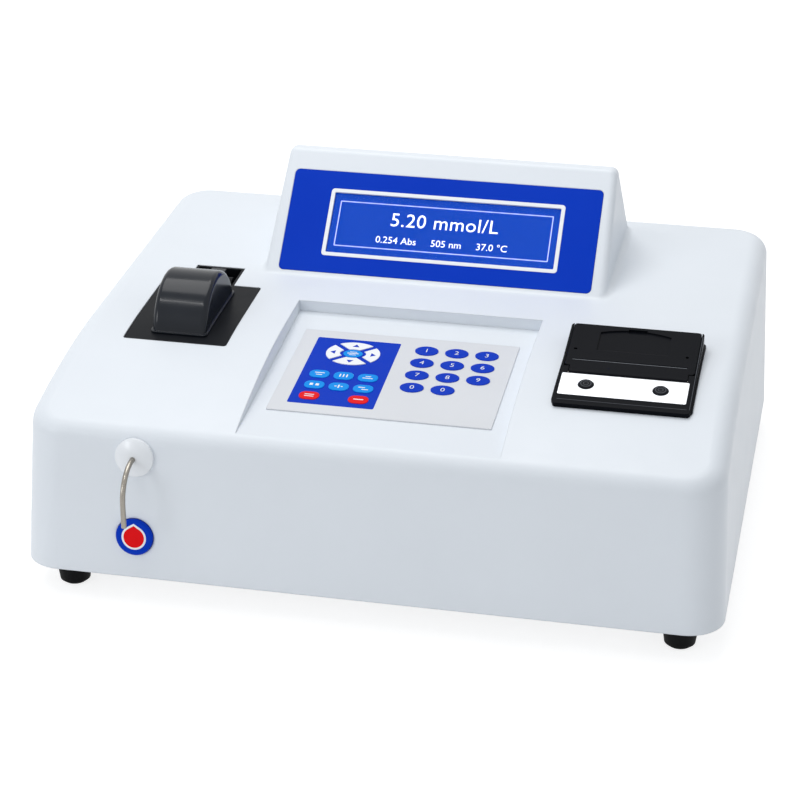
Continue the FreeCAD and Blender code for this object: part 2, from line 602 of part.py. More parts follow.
def rear_rooms():
    """The rear wall's slots and holes."""
    rooms = []
    count = int(number("2 * fan_bore / grille_pitch"))
    for index in range(count):
        offset = f"(({index} - {count - 1} / 2) * grille_pitch)"
        reach = f"sqrt(fan_bore ^ 2 - {offset} ^ 2)"
        rooms.append(block(f"grille_slot_{index}", (f"fan_x - {reach}", f"fan_x + {reach}"), ("-6", "6"),
                           middle(f"fan_up + {offset}", "grille_slot")))
    rooms.append(block("inlet_room", middle("inlet_x", "socket_wide + 4.2"), ("-12", "6"),
                       middle("inlet_up", "socket_high + 4.2")))
    for name, sign in SIDES:
        rooms.append(rod(f"inlet_hole_{name}", "1.55", f"inlet_x + {sign} * inlet_screw", "-12", "inlet_up",
                         "20", "Y"))
    rooms.append(block("switch_room", middle("switch_x", "switch_wide - 3"), ("-12", "6"),
                       middle("inlet_up", "switch_high - 3")))
    rooms.append(block("serial_room", middle("serial_x", "serial_wide - 11.6"), ("-12", "6"),
                       middle("serial_up", "serial_high - 2.1")))
    rooms.append(rod("nipple_room", "nipple_radius + 0.1", "-nipple_x", "-12", "nipple_up", "20", "Y"))
    return laid("rear_rooms", "rear", *rooms)


def build_tray():
    """The tray that closes the cover below, with its rim, board posts, vents and screw holes."""
    outline = cover_walls("tray_outline", "cover_wall + tray_gap")
    span = ("-body_width", "body_width")
    depth = ("-20", "body_depth + 20")
    floor = common("tray_floor", outline, block("tray_slab", span, depth, ("foot_height", TRAY_TOP)))
    high = common("tray_high", outline,
                  block("rim_slab", span, depth, (TRAY_TOP, "foot_height + tray_rim")))
    rim = cut("tray_rim_ring", high, cover_walls("rim_inside", "cover_wall + tray_gap + 2"))
    posts = [rod(f"board_post_{index}", "standoff_radius", x, y, TRAY_TOP, "standoff_high")
             for index, (x, y) in enumerate(BOARD_SPOTS)]
    whole = fuse("tray_whole", floor, rim, *posts)
    tools = [rod("tray_room_" + name, "screw_head + 1.9", x, y, TRAY_TOP, "tray_rim")
             for name, x, y in SCREW_SPOTS]
    tools += [rod("tray_bore_" + name, "screw_radius + 0.05", x, y, "foot_height - 1", "tray_thick + 2")
              for name, x, y in SCREW_SPOTS + FOOT_SPOTS]
    tools += [rod(f"post_bore_{index}", "board_screw + 0.05", x, y, f"{TRAY_TOP} + 1", "standoff_high")
              for index, (x, y) in enumerate(BOARD_SPOTS)]
    for index in range(9):
        x = f"{index} * 9 - 60"
        tools.append(block(f"tray_vent_{index}", middle(x, "4"), middle("268", "60"),
                           ("foot_height - 1", "40")))
    node(cut("tray", whole, *tools), "base_tray")


BOARD_SPOTS = [(x, y) for x in ("main_left + 6", "main_right - 6")
               for y in ("main_front + 6", "main_back - 6")]


def build_feet():
    """Four turned rubber feet, and the screws that hold them and the cover to the tray."""
    for name, x, y in FOOT_SPOTS:
        corners = [
            ("foot_bore", "0"), ("foot_ground - foot_edge", "0"), ("foot_ground + 0.4", "foot_edge"),
            ("foot_top", "foot_height - 2"), ("foot_top", "foot_height"),
            ("screw_radius + 0.1", "foot_height"),
            ("screw_radius + 0.1", "screw_sunk + screw_head_high"),
            ("foot_bore", "screw_sunk + screw_head_high"),
        ]
        foot = turned("foot_" + name + "_turned", corners)
        node(group("foot_" + name, along(foot, "Z", x, y, "0")), "foot_" + name)
    board_top = f"({TRAY_TOP} + standoff_high + board_thick)"
    screws = []
    for index, (x, y) in enumerate(BOARD_SPOTS):
        shank = rod(f"board_screw_shank_{index}", "board_screw", x, y, f"{board_top} - 6.6", "6.6")
        head = rod(f"board_screw_head_{index}", "2 * board_screw", x, y, board_top, "1.8")
        screws.append(fuse(f"board_screw_{index}", shank, head))
    for name, x, y in FOOT_SPOTS:
        screws.append(screw("foot_screw_" + name, x, y, "screw_sunk",
                            "foot_height + tray_thick + 5 - screw_sunk"))
    for name, x, y in SCREW_SPOTS:
        screws.append(screw("cover_screw_" + name, x, y, "foot_height - screw_head_high",
                            "cover_screw_long + screw_head_high"))
    inlet_screws = []
    for name, sign in SIDES:
        x = f"inlet_x + {sign} * inlet_screw"
        shank = rod(f"inlet_shank_{name}", "1.5", x, "-cover_wall - 3", "inlet_up",
                    "cover_wall + 3 + inlet_flange", "Y")
        head = rod(f"inlet_head_{name}", "2.8", x, "inlet_flange", "inlet_up", "1.5", "Y")
        inlet_screws.append(fuse(f"inlet_screw_{name}", shank, head))
    screws.append(laid("inlet_screws", "rear", *inlet_screws))
    node(group("screw_set", *screws), "case_screws")


def screw(name, x, y, low, long):
    """A cross-recess screw that stands on its head."""
    whole = fuse(name + "_whole", rod(name + "_head", "screw_head", x, y, low, "screw_head_high"),
                 rod(name + "_shank", "screw_radius", x, y, low, long))
    slots = [block(name + "_slot", middle(x, "4.4"), middle(y, "0.9"), (f"{low} - 1", f"{low} + 1.1")),
             block(name + "_cross", middle(x, "0.9"), middle(y, "4.4"), (f"{low} - 1", f"{low} + 1.1"))]
    return cut(name, whole, *slots)


def build_display():
    """The blue panel, its white bezel, the glass and the display module behind it."""
    window = ("panel", "-window_left", "window_right", "window_low", "window_high", "bezel_corner")
    panel = ("panel", "-panel_half", "panel_half", "panel_low", "panel_high", "panel_corner")
    node(prism("panel", "XY_Plane", [panel, window], "-panel_sunk", "panel_thick"), "display_panel", "face")
    slack = "0.1"
    outer = ("panel", f"{slack} - window_left", f"window_right - {slack}", f"window_low + {slack}",
             f"window_high - {slack}", f"bezel_corner - {slack}")
    inner = ("panel", "bezel_wall - window_left", "window_right - bezel_wall", "window_low + bezel_wall",
             "window_high - bezel_wall", "bezel_corner / 3")
    frame = prism("bezel_frame", "XY_Plane", [outer, inner], "-bezel_depth", "bezel_depth + bezel_proud")
    edge = ("panel", "-window_left - module_margin", "window_right + module_margin",
            "window_low - module_margin",
            "window_high + module_margin", "2")
    ledge = prism("bezel_ledge", "XY_Plane", [edge, inner], "-bezel_depth", "bezel_depth - cover_wall")
    node(fuse("bezel", frame, ledge), "display_bezel", "face")
    pane = ("panel", "bezel_wall + 0.1 - window_left", "window_right - bezel_wall - 0.1",
            "window_low + bezel_wall + 0.1", "window_high - bezel_wall - 0.1",
            "bezel_corner / 3 - 0.1")
    node(prism("glass", "XY_Plane", [pane], "-bezel_depth", "bezel_depth - glass_depth"), "lcd_glass",
         "face")
    box = block("module_box", ("-window_left - module_margin", "window_right + module_margin"),
                ("window_low - module_margin", "window_high + module_margin"),
                ("-bezel_depth - module_thick", "-bezel_depth"))
    board = block("module_board", ("-window_left - module_margin - 4", "window_right + module_margin + 4"),
                  ("window_low - module_margin - 4", "window_high + module_margin + 4"),
                  ("-bezel_depth - module_thick - board_thick", "-bezel_depth - module_thick"))
    whole = fuse("module_whole", box, board)
    holes = [rod(f"module_hole_{index}", "1.6", x, y, "-40", "60")
             for index, (x, y) in enumerate([(x, y)
                                             for x in ("-window_left - module_margin - 1.6",
                                                       "window_right + module_margin + 1.6")
                                             for y in ("window_low - module_margin - 1.6",
                                                       "window_high + module_margin + 1.6")])]
    node(cut("module", whole, *holes), "lcd_module", "face")


def build_keypad():
    """The printed film in the recess, with its keys raised."""
    sheet = prism("film", "XY_Plane", [("panel", "-film_half", "film_half", "-film_front", "-film_back",
                  "film_corner")], "0", "film_thick")
    keys = []
    base = "film_thick / 2"
    height = "film_thick / 2 + key_rise"
    for row in range(4):
        for column in range(3):
            if row == 3 and column == 2:
                continue
            x = f"digit_first + {column} * digit_step"
            y = f"-digit_back - {row} * digit_pitch"
            keys.append(oval(f"digit_{row}_{column}", "digit_long", "digit_wide", x, y, base, height))
    for row in range(3):
        for column in range(3):
            if row == 2 and column == 1:
                continue
            x = f"{column} * command_step - command_left"
            y = f"-command_back - {row} * command_pitch"
            outline = ("panel", *middle(x, "command_long"), *middle(y, "command_wide"), "command_round")
            keys.append(prism(f"command_{row}_{column}", "XY_Plane", [outline], base, height))
    outer = oval("arrow_outer", "arrow_long", "arrow_wide", "-arrow_x", "-arrow_y", base, height)
    hole = oval("arrow_hole", "arrow_long - 2 * arrow_ring", "arrow_wide - 2 * arrow_ring", "-arrow_x",
                "-arrow_y",
                "0", "4")
    gaps = []
    for sign in (-1, 1):
        bar = block(f"arrow_bar_{sign}", middle("0", "arrow_long"), middle("0", "arrow_gap"), ("0", "4"))
        turned_bar = group(f"arrow_gap_{sign}", bar)
        turned_bar.Placement = FreeCAD.Placement(FreeCAD.Vector(), FreeCAD.Rotation(Z_AXIS, sign * 40))
        gaps.append(place(turned_bar, "-arrow_x", "-arrow_y", "0"))
    keys.append(cut("arrow_ring_cut", outer, hole, *gaps))
    keys.append(oval("arrow_centre", "centre_long", "centre_wide", "-arrow_x", "-arrow_y", base, height))
    node(fuse("film_whole", sheet, *keys), "keypad_film", "keys")


def build_well():
    """The black plate with the well for the measuring cell and the slot for the lid's hinge."""
    layer = top_layer("plate_layer", ("-plate_left", "-plate_right"), ("plate_front", "plate_back"),
                      "plate_sunk", "plate_sunk + plate_thick")
    tub = block("well_tub", ("-well_left - tub_wall", "tub_wall - well_right"),
                ("well_front - tub_wall", "well_back + tub_wall"), (f"{WELL_FLOOR} - tub_wall", "180"))
    slot = block("slot_tub", ("-slot_left", "-slot_right"), ("plate_back - tub_wall", "slot_back"),
                 (f"{SLOT_FLOOR} - tub_wall", "180"))
    tubs = common("plate_tubs", fuse("tubs", tub, slot), under_top("tub_top", "plate_sunk"))
    rooms = [block("well_inside", ("-well_left", "-well_right"), ("well_front", "well_back"),
                   (WELL_FLOOR, "180")),
             block("slot_inside", ("tub_wall - slot_left", "-slot_right - tub_wall"),
                   ("plate_back", "slot_back - tub_wall"), (SLOT_FLOOR, "180"))]
    opened = cut("plate_opened", fuse("plate_whole", layer, tubs), *rooms)
    ears = []
    for name, sign in SIDES:
        centre = f"{CENTRE_X} + {sign} * (arm_half + ear_gap + ear_thick / 2)"
        across = middle(centre, "ear_thick")
        ears.append(block(f"ear_{name}", across, middle("lid_pin_y", "2 * knuckle_radius"),
                          (SLOT_FLOOR, "lid_pin_z")))
        ears.append(rod(f"ear_top_{name}", "knuckle_radius", across[0], "lid_pin_y", "lid_pin_z",
                        "ear_thick", "X"))
    pin = rod("ear_bore", "lid_pin_radius + 0.02", "-slot_left - 5", "lid_pin_y", "lid_pin_z", "50", "X")
    beam = beam_hole("well_beam", "-well_left - 6", "6 - well_right")
    hose = rod("well_hose_hole", "hose_radius + 0.15", "-sipper_x", "well_front - 6", "well_hose_z", "8",
               "Y")
    drain = rod("well_drain_hole", "hose_radius + 0.15", "-drain_x", "well_front - 6", "drain_z", "8", "Y")
    beyond = block("bore_keep", ("-slot_right - tub_wall + 0.6", "0"), ("150", "250"), ("100", "180"))
    pin_room = cut("ear_bore_kept", pin, beyond)
    eared = fuse("plate_eared", opened, *ears)
    node(cut("plate_done", eared, pin_room, beam, hose, drain), "well_plate")
    across = (f"{CENTRE_X} - arm_half - ear_gap - ear_thick", "2 * (arm_half + ear_gap + ear_thick)")
    pin = prism("lid_pin_rod", "YZ_Plane", [("circle", "lid_pin_y", "lid_pin_z", "lid_pin_radius")],
                *across)
    node(pin, "lid_pin")


def build_lid():
    """The domed lid over the well: part of a hollow cylinder with a lip, on one hinge arm."""
    across = ("-lid_left", "lid_left - lid_right")
    outer = rod("lid_drum", "lid_radius", across[0], "lid_axis_y", "lid_axis_z", across[1], "X")
    inner = rod("lid_drum_inside", "lid_radius - lid_wall", "lid_wall - lid_left", "lid_axis_y",
                "lid_axis_z",
                "lid_left - lid_right - 2 * lid_wall", "X")

    def rim(edge):
        return not runs_along(edge, X_AXIS)

    soft = rounded("lid_soft", outer, (rim, "lid_round"))
    hollow = rounded("lid_hollow", inner, (rim, "lid_round - lid_wall"))
    low = "(plate_sunk - lid_gap)"
    front = nose("(lid_axis_y - lid_radius)")
    back = surface("(lid_axis_y + lid_radius)")
    ends = (f"lid_axis_y - sqrt(lid_radius ^ 2 - ({front} - lid_axis_z) ^ 2) - lid_lip",
            f"lid_axis_y + sqrt(lid_radius ^ 2 - ({back} - lid_axis_z) ^ 2) + lid_lip")
    lip = top_layer("lid_lip_layer", ("-lid_left - lid_lip", "lid_lip - lid_right"), ends,
                    f"{low} - lid_lip_high", low, "3")
    reach = "lid_axis_y + sqrt((lid_radius - lid_wall) ^ 2 - (arm_low - lid_axis_z) ^ 2)"
    arm = middle(CENTRE_X, "2 * arm_half")
    bar = block("lid_arm", arm, (reach, "lid_pin_y + knuckle_radius"), ("arm_low", "arm_high"))
    drop = block("lid_drop", arm, middle("lid_pin_y", "2 * knuckle_radius"), ("lid_pin_z", "arm_high"))
    knuckle = rod("lid_knuckle", "knuckle_radius", arm[0], "lid_pin_y", "lid_pin_z", "2 * arm_half", "X")
    dome = cut("lid_dome", fuse("lid_whole", soft, lip), hollow, under_top("lid_under", low),
               block("lid_foot_room", ("lid_wall - lid_left", "-lid_right - lid_wall"),
                     ("lid_axis_y - lid_radius + 3", "lid_axis_y + lid_radius - 3.6"), ("100", "142")))
    arm_whole = fuse("lid_with_arm", dome, bar, drop, knuckle)
    bore = rod("lid_bore", "lid_pin_radius + 0.06", "-lid_left", "lid_pin_y", "lid_pin_z", "60", "X")
    node(cut("lid", arm_whole, bore), "flow_cell_lid")


def build_cell():
    """The aluminium holder in the well and the flow cell in it."""
    body = block("holder_block", middle(CENTRE_X, "holder_wide"), middle("lid_axis_y", "holder_long"),
                 (WELL_FLOOR, f"{WELL_FLOOR} + holder_high"))
    side = "cell_side + 2 * cell_slack"
    shaft = block("holder_shaft", middle(CENTRE_X, side), middle("lid_axis_y", side),
                  (f"{WELL_FLOOR} + cell_floor", "180"))
    screws = [rod(f"holder_hole_{name}", "2.2", CENTRE_X, f"lid_axis_y + {sign} * 12", f"{WELL_FLOOR} + 20",
                  "40")
              for name, sign in SIDES]
    node(cut("holder", body, shaft, beam_hole("holder_beam", "-well_left", "-well_right"), *screws),
         "cuvette_holder")
    across, along_y = middle(CENTRE_X, "cell_side"), middle("lid_axis_y", "cell_side")
    cell = prism("cell", "XY_Plane", [("panel", *across, *along_y, "0.8"),
                 ("circle", CENTRE_X, "lid_axis_y", "2.4")], f"{WELL_FLOOR} + cell_floor", "cell_high")
    node(cell, "flow_cell")


def build_sipper():
    """The domed boss on the front wall, the steel sipper in it and the silicone tube behind."""
    rise = "(boss_rise - 2.2)"
    dome = f"((boss_radius ^ 2 + {rise} ^ 2) / (2 * {rise}))"
    corners = [
        ("0", "-boss_stem_long"), ("0", "boss_rise"),
        ("boss_radius", "2.2", dome, "0", f"boss_rise - {dome}"),
        ("boss_radius", "0"), ("boss_stem", "0"), ("boss_stem", "-boss_stem_long"),
    ]
    boss = along(turned("boss", corners), "-Y", "-boss_x", "0", "boss_up")
    bore = rod("boss_bore", "sipper_radius + 0.03", "-sipper_x", "-40", "sipper_z", "100", "Y")
    node(cut("boss_bored", laid("boss_laid", "wall", boss), bore), "sipper_boss")
    tube = doc.addObject("Part::Feature", "sipper")
    bend_y, bend_z = -number("sipper_bend_y"), number("sipper_z - sipper_bend")
    over = math.radians(180 + number("sipper_over"))
    radius, x = number("sipper_bend"), -number("sipper_x")

    def on_bend(angle):
        return FreeCAD.Vector(x, bend_y + radius * math.cos(angle), bend_z + radius * math.sin(angle))

    start = FreeCAD.Vector(x, number("sipper_inside"), number("sipper_z"))
    top, middle_point, end = on_bend(math.pi / 2), on_bend((math.pi / 2 + over) / 2), on_bend(over)
    down = FreeCAD.Vector(0, -math.sin(over), math.cos(over)) * number("sipper_tip")
    path = Part.Wire([Part.LineSegment(start, top).toShape(), Part.Arc(top, middle_point, end).toShape(),
                      Part.LineSegment(end, end + down).toShape()])
    solids = [pipe(path, start, Y_AXIS, number(size)) for size in ("sipper_radius", "sipper_bore")]
    tube.Shape = solids[0].cut(solids[1])
    node(tube, "sipper_tube")


def pipe(path, start, direction, radius):
    """A round solid along a path."""
    ring = Part.Wire([Part.Circle(start, direction, radius).toShape()])
    return path.makePipeShell([ring], True, True)


def hose(label, points):
    """A flexible tube through points of x, y, z and the radius of the bend there."""
    places = [FreeCAD.Vector(*(number(text) for text in point[:3])) for point in points]
    bends = [number(point[3]) if len(point) > 3 else 0 for point in points]
    edges, last = [], places[0]
    for index in range(1, len(places) - 1):
        before = (places[index - 1] - places[index]).normalize()
        after = (places[index + 1] - places[index]).normalize()
        turn = math.pi - before.getAngle(after)
        reach = bends[index] * math.tan(turn / 2)
        first, second = places[index] + before * reach, places[index] + after * reach
        halfway = (before + after).normalize()
        crest = places[index] + halfway * (bends[index] / math.cos(turn / 2) - bends[index])
        if (first - last).Length > 0.01:
            edges.append(Part.LineSegment(last, first).toShape())
        edges.append(Part.Arc(first, crest, second).toShape())
        last = second
    edges.append(Part.LineSegment(last, places[-1]).toShape())
    item = doc.addObject("Part::Feature", label + "_run")
    item.Shape = pipe(Part.Wire(edges), places[0], places[1] - places[0], number("hose_radius"))
    node(item, label)


def build_hoses():
    """The silicone tubes: from the sipper to the cell, and from the cell round the pump to the rear."""
    hose("sample_hose", [
        ("-sipper_x", "sipper_inside", "sipper_z"), ("-sipper_x", "sipper_inside + 32", "sipper_z", "20"),
        ("-sipper_x", "well_front - 20", "well_hose_z", "20"), ("-sipper_x", "well_front", "well_hose_z"),
    ])
    ring = "(pump_track - hose_radius - 0.1)"
    right, left = f"{ring} - pump_x", f"-pump_x - {ring}"
    y, top, low = "pump_front + pump_deep / 2", f"pump_z + {ring}", f"{TRAY_TOP} + 6"
    hose("pump_hose", [
        ("-drain_x", "well_front", "drain_z"), ("-drain_x", "well_front - 14", "drain_z", "8"),
        (right, "well_front - 14", low, "10"), (right, y, low, "10"), (right, y, top, ring),
        (left, y, top, ring),
        (left, y, low, "10"), (left, "200", low, "60"), ("-nipple_x", "body_depth - 68", low, "60"),
        ("-nipple_x", "body_depth - 30", low, "9"),
        ("-nipple_x", "body_depth - 30", "foot_height + nipple_up", "9"),
        ("-nipple_x", "body_depth - 10", "foot_height + nipple_up"),
    ])


def build_touch():
    """The round aspirate key on the front wall, its bracket and its switch."""
    inner, stem = "(touch_radius - 1.6)", "(touch_deep + touch_stem_long)"
    corners = [
        ("0", f"-{stem}"), ("0", "touch_proud"), ("touch_radius - 1", "touch_proud"),
        ("touch_radius", "touch_proud - 0.7"), ("touch_radius", "-touch_deep"), (inner, "-touch_deep"),
        (inner, "0"), ("touch_stem", "0"), ("touch_stem", f"-{stem}"),
    ]
    key = along(turned("touch", corners), "-Y", "-touch_x", "0", "touch_up")
    node(group("touch_key", key), "aspirate_key", "wall")
    near = f"{stem} + touch_travel + 0.2"
    far = f"{near} + 6"
    inside = "cover_wall"
    legs = [block(f"touch_leg_{name}", middle(f"{sign} * (touch_radius + 4) - touch_x", "3"),
                  (inside, f"{far} + 2"),
                  middle("touch_up", "16")) for name, sign in SIDES]
    back = block("touch_back", middle("-touch_x", "2 * touch_radius + 11"), (far, f"{far} + 2"),
                 middle("touch_up", "16"))
    node(fuse("bracket", back, *legs), "key_bracket", "wall")
    body = block("switch_body", middle("-touch_x", "12"), (f"{near} + 1.4", far), middle("touch_up", "12"))
    button = rod("switch_button", "1.8", "-touch_x", near, "touch_up", "2", "Y")
    node(fuse("switch", body, button), "key_switch", "wall")


def deck_room(name, wall, low, high, front="bay_front", back="bay_back"):
    """A box over the printer's paper bay, grown by wall, between two heights of the deck."""
    return block(name, (f"bay_left - ({wall})", f"bay_right + ({wall})"),
                 (f"{front} - ({wall})", f"{back} + ({wall})"),
                 (low, high))


def build_printer_frame():
    """The black wedge of the printer with its flange, its deck and the bay below."""
    flange = top_layer("printer_flange", ("flange_left", "flange_right"), ("flange_front", "flange_back"),
                       "-flange_rise", "0", "4")
    wedge = prism("printer_wedge", "XY_Plane", [("panel", "deck_left", "deck_right", "0", "deck_length",
                                                 "2.5")],
                  "-30", "30")
    above = cut("printer_above", laid("wedge_laid", "deck", wedge), under_top("wedge_under", "-0.02"))
    bay = deck_room("printer_bay", "bay_wall", "-bay_depth - bay_wall", "-deck_lip")
    front = deck_room("printer_front", "bay_wall", "-front_bay_deep - bay_wall", "-deck_lip", "front_bay",
                      "bay_front")
    below = common("printer_below", laid("bay_laid", "deck", fuse("bay_boxes", bay, front)),
                   under_top("bay_under", "0"))
    whole = fuse("printer_whole", flange, above, below)
    rooms = [
        deck_room("bay_inside", "0", "-bay_depth", "4"),
        deck_room("front_inside", "0", "-front_bay_deep", "-strip_sunk - 2", "front_bay",
                  "bay_front - bay_wall"),
        prism("strip_pocket", "XY_Plane", [("panel", "strip_left - 0.15", "strip_right + 0.15",
              "strip_front - 0.15", "strip_back + 0.15", "1.2")], "-strip_sunk", "6"),
        block("door_pocket", ("door_left - door_gap", "door_right + door_gap"),
              ("door_pin_s - door_barrel - door_gap", "deck_length + 4"), ("-door_barrel - 0.1", "4")),
        rod("shaft_bore", "shaft_radius + 0.04", "bay_left - 1.5", "platen_s", "-platen_deep",
            "bay_right - bay_left + 3", "X"),
        rod("drive_bore", "1.54", "bay_right - 1", "platen_s", f"-platen_deep - {GEAR_DISTANCE}", "6", "X"),
    ]
    for name in ("feed", "select"):
        rooms.append(rod(f"{name}_hole", "button_radius + button_gap", f"{name}_x", "button_s", "-6", "12"))
    cheeks = []
    for name, left, right in (("left", "door_left - door_gap", "bay_left"),
                              ("right", "bay_right", "door_right + door_gap")):
        whole_cheek = block(f"cheek_block_{name}", (left, right),
                            ("door_pin_s - door_barrel - door_gap - 0.5", "door_pin_s + door_start"),
                            ("-door_barrel - 1", "0"))
        swing = rod(f"cheek_round_{name}", "door_start - door_gap", left, "door_pin_s", "-door_barrel",
                    f"{right} - ({left})", "X")
        cheeks.append(common(f"cheek_{name}", whole_cheek, swing))
    bore = rod("door_bore", "door_pin_radius + 0.02", "bay_left - 1.5", "door_pin_s", "-door_barrel",
               "bay_right - bay_left + 3", "X")
    opened = cut("printer_opened", whole, laid("printer_rooms", "deck", *rooms))
    cheeked = fuse("printer_cheeked", opened, laid("cheeks_laid", "deck", fuse("cheeks", *cheeks)))
    node(cut("printer_frame_done", cheeked, laid("door_bore_laid", "deck", bore)), "printer_frame")


GEAR_DISTANCE = "((gear_teeth + pinion_teeth) * gear_module / 2)"


def build_printer_door():
    """The door over the paper: a plate on a barrel, with a tear slit, a catch and a nail notch."""
    start = "door_pin_s + door_start"
    plate = block("door_plate", ("door_left", "door_right"), (start, "deck_length"), ("-door_thick", "0"))
    soft = rounded("door_soft", plate, (lambda edge: runs_along(edge, Z_AXIS), "2.2"))
    across = ("bay_left + 0.4", "bay_right - 0.4")
    barrel = rod("door_barrel", "door_barrel", across[0], "door_pin_s", "-door_barrel",
                 "bay_right - bay_left - 0.8", "X")
    web = block("door_web", across, ("door_pin_s", f"{start} + 1"), ("-door_thick", "0"))
    whole = fuse("door_whole", soft, barrel, web)
    pad = prism("door_catch", "XY_Plane", [[
        ("catch_left", "catch_side"), (CATCH_MIDDLE, "catch_top", CATCH_RADIUS, CATCH_MIDDLE, CATCH_CENTRE),
        ("catch_right", "catch_side", CATCH_RADIUS, CATCH_MIDDLE, CATCH_CENTRE),
        ("catch_right", "catch_front"), ("catch_left", "catch_front"),
    ]], "-catch_sunk", "4")
    rooms = [
        block("tear_slit", ("tear_left", "tear_right"), middle("tear_s", "tear_wide"), ("-8", "2")),
        rod("door_hole_left", "hole_radius", "tear_left + 0.6", "hole_s", "-8", "12"),
        rod("door_hole_right", "hole_radius", "tear_right - 1.4", "hole_s", "-8", "12"),
        block("nail_notch", ("nail_left", "nail_right"), ("catch_top - 2.4", "deck_length - 2.4"),
              ("-1.6", "2")),
        rod("door_pin_bore", "door_pin_radius + 0.06", "bay_left", "door_pin_s", "-door_barrel", "80", "X"),
        pad,
    ]
    node(cut("door", whole, *rooms), "printer_lid", "deck")
    pin = rod("door_pin_rod", "door_pin_radius", "bay_left - 1.4", "door_pin_s", "-door_barrel",
              "bay_right - bay_left + 2.8", "X")
    node(group("door_pin", pin), "printer_lid_pin", "deck")


CATCH_RISE = "(catch_top - catch_side)"
CATCH_HALF = "((catch_right - catch_left) / 2)"
CATCH_RADIUS = f"(({CATCH_HALF} ^ 2 + {CATCH_RISE} ^ 2) / (2 * {CATCH_RISE}))"
CATCH_MIDDLE = "((catch_left + catch_right) / 2)"
CATCH_CENTRE = f"(catch_top - {CATCH_RADIUS})"


def build_printer_keys():
    """The metal strip on the printer's deck and the two buttons in it."""
    strip = prism("strip", "XY_Plane", [
        ("panel", "strip_left", "strip_right", "strip_front", "strip_back", "1"),
        ("circle", "feed_x", "button_s", "button_radius + button_gap"),
        ("circle", "select_x", "button_s", "button_radius + button_gap"),
    ], "-strip_sunk", "strip_thick")
    node(strip, "printer_strip", "deck")
    for name in ("feed", "select"):
        rim = "button_radius + 1.4"
        corners = [
            ("0", "-button_deep"), ("0", "button_proud"), ("button_radius - 0.6", "button_proud"),
            ("button_radius", "button_proud - 0.6"), ("button_radius", "-strip_sunk - 2.3"),
            (rim, "-strip_sunk - 2.3"), (rim, "-strip_sunk - 3.9"), ("1.6", "-strip_sunk - 3.9"),
            ("1.6", "-button_deep"),
        ]
        button = turned(name + "_button_turned", corners)
        node(group(name + "_button", place(button, f"{name}_x", "button_s", "0")), name + "_button", "deck")
    low = "-front_bay_deep"
    board = block("key_plate", ("bay_left + 1", "bay_right - 1"),
                  ("front_bay + 1", "bay_front - bay_wall - 1"),
                  (low, f"{low} + board_thick"))
    taps = [block(f"{name}_tap", middle(f"{name}_x", "6"), middle("button_s", "6"),
                  (f"{low} + board_thick", "-button_deep - button_travel - 0.2"))
            for name in ("feed", "select")]
    node(fuse("key_board_whole", board, *taps), "printer_key_board", "deck")


def gear(name, x, s, n, teeth, bore, phase):
    """A spur gear across the printer, centred at s, n, with straight-sided teeth."""
    outer = f"(({teeth} / 2 + 0.9) * gear_module)"
    root = f"(({teeth} / 2 - 1.15) * gear_module)"
    whole = rod(name + "_blank", root, x, s, n, "gear_wide", "X")
    count = int(number(teeth))
    pieces = [whole]
    for index in range(count):
        angle = 360 * (index + phase) / count
        base, tip = "gear_module * 1.62", "gear_module * 0.78"
        low = f"{root} - gear_module * 0.4"
        corners = [(f"0 - ({base}) / 2", low), (f"0 - ({tip}) / 2", outer), (f"({tip}) / 2", outer),
                   (f"({base}) / 2", low)]
        tooth = prism(f"{name}_tooth_{index}", "YZ_Plane", [corners], "0", "gear_wide")
        tooth.Placement = FreeCAD.Placement(FreeCAD.Vector(), FreeCAD.Rotation(X_AXIS, angle))
        pieces.append(place(tooth, x, s, n))
    return cut(name + "_bored", fuse(name + "_whole", *pieces),
               rod(name + "_bore", bore, f"({x}) - 1", s, n, "20", "X"))


def build_printer_works():
    """The platen roller with its gear, the pinion and motor that drive it, and the print head."""
    deep = "-platen_deep"
    roller = rod("platen_rod", "platen_radius", "platen_left", "platen_s", deep,
                 "platen_right - platen_left", "X")
    sleeve = cut("platen_sleeve", roller, rod("platen_hole", "shaft_radius + 0.01", "platen_left - 1",
                                              "platen_s",
                 deep, "80", "X"))
    node(sleeve, "platen_roller", "deck")
    shaft = rod("platen_shaft_rod", "shaft_radius", "bay_left - 1.4", "platen_s", deep,
                "bay_right - bay_left + 2.8", "X")
    node(group("platen_axle", shaft), "platen_shaft", "deck")
    node(gear("platen_wheel", "gear_x", "platen_s", deep, "gear_teeth", "shaft_radius + 0.01", 0),
         "platen_gear",
         "deck")
    below = f"{deep} - {GEAR_DISTANCE}"
    node(gear("drive_wheel", "gear_x", "platen_s", below, "pinion_teeth", "1.51", 0.5), "drive_pinion",
         "deck")
    motor = rod("drive_can", "drive_radius", "bay_right + bay_wall + 0.3", "platen_s", below, "drive_long",
                "X")
    shaft = rod("drive_shaft", "1.5", "gear_x - 1", "platen_s", below,
                "bay_right + bay_wall + 2 - gear_x", "X")
    node(fuse("drive_motor", motor, shaft), "printer_motor", "deck")
    front = "platen_s - platen_radius - 0.1"
    head = block("head_bar", ("platen_left", "platen_right"), (f"{front} - head_thick", front),
                 (f"{deep} - head_high / 2", f"{deep} + head_high / 2"))
    foot = block("head_foot", ("platen_left + 8", "platen_right - 8"),
                 ("bay_front", f"{front} - head_thick + 0.5"),
                 (f"{deep} - head_high / 2 - 4", f"{deep} - 1"))
    node(fuse("head", head, foot), "print_head", "deck")


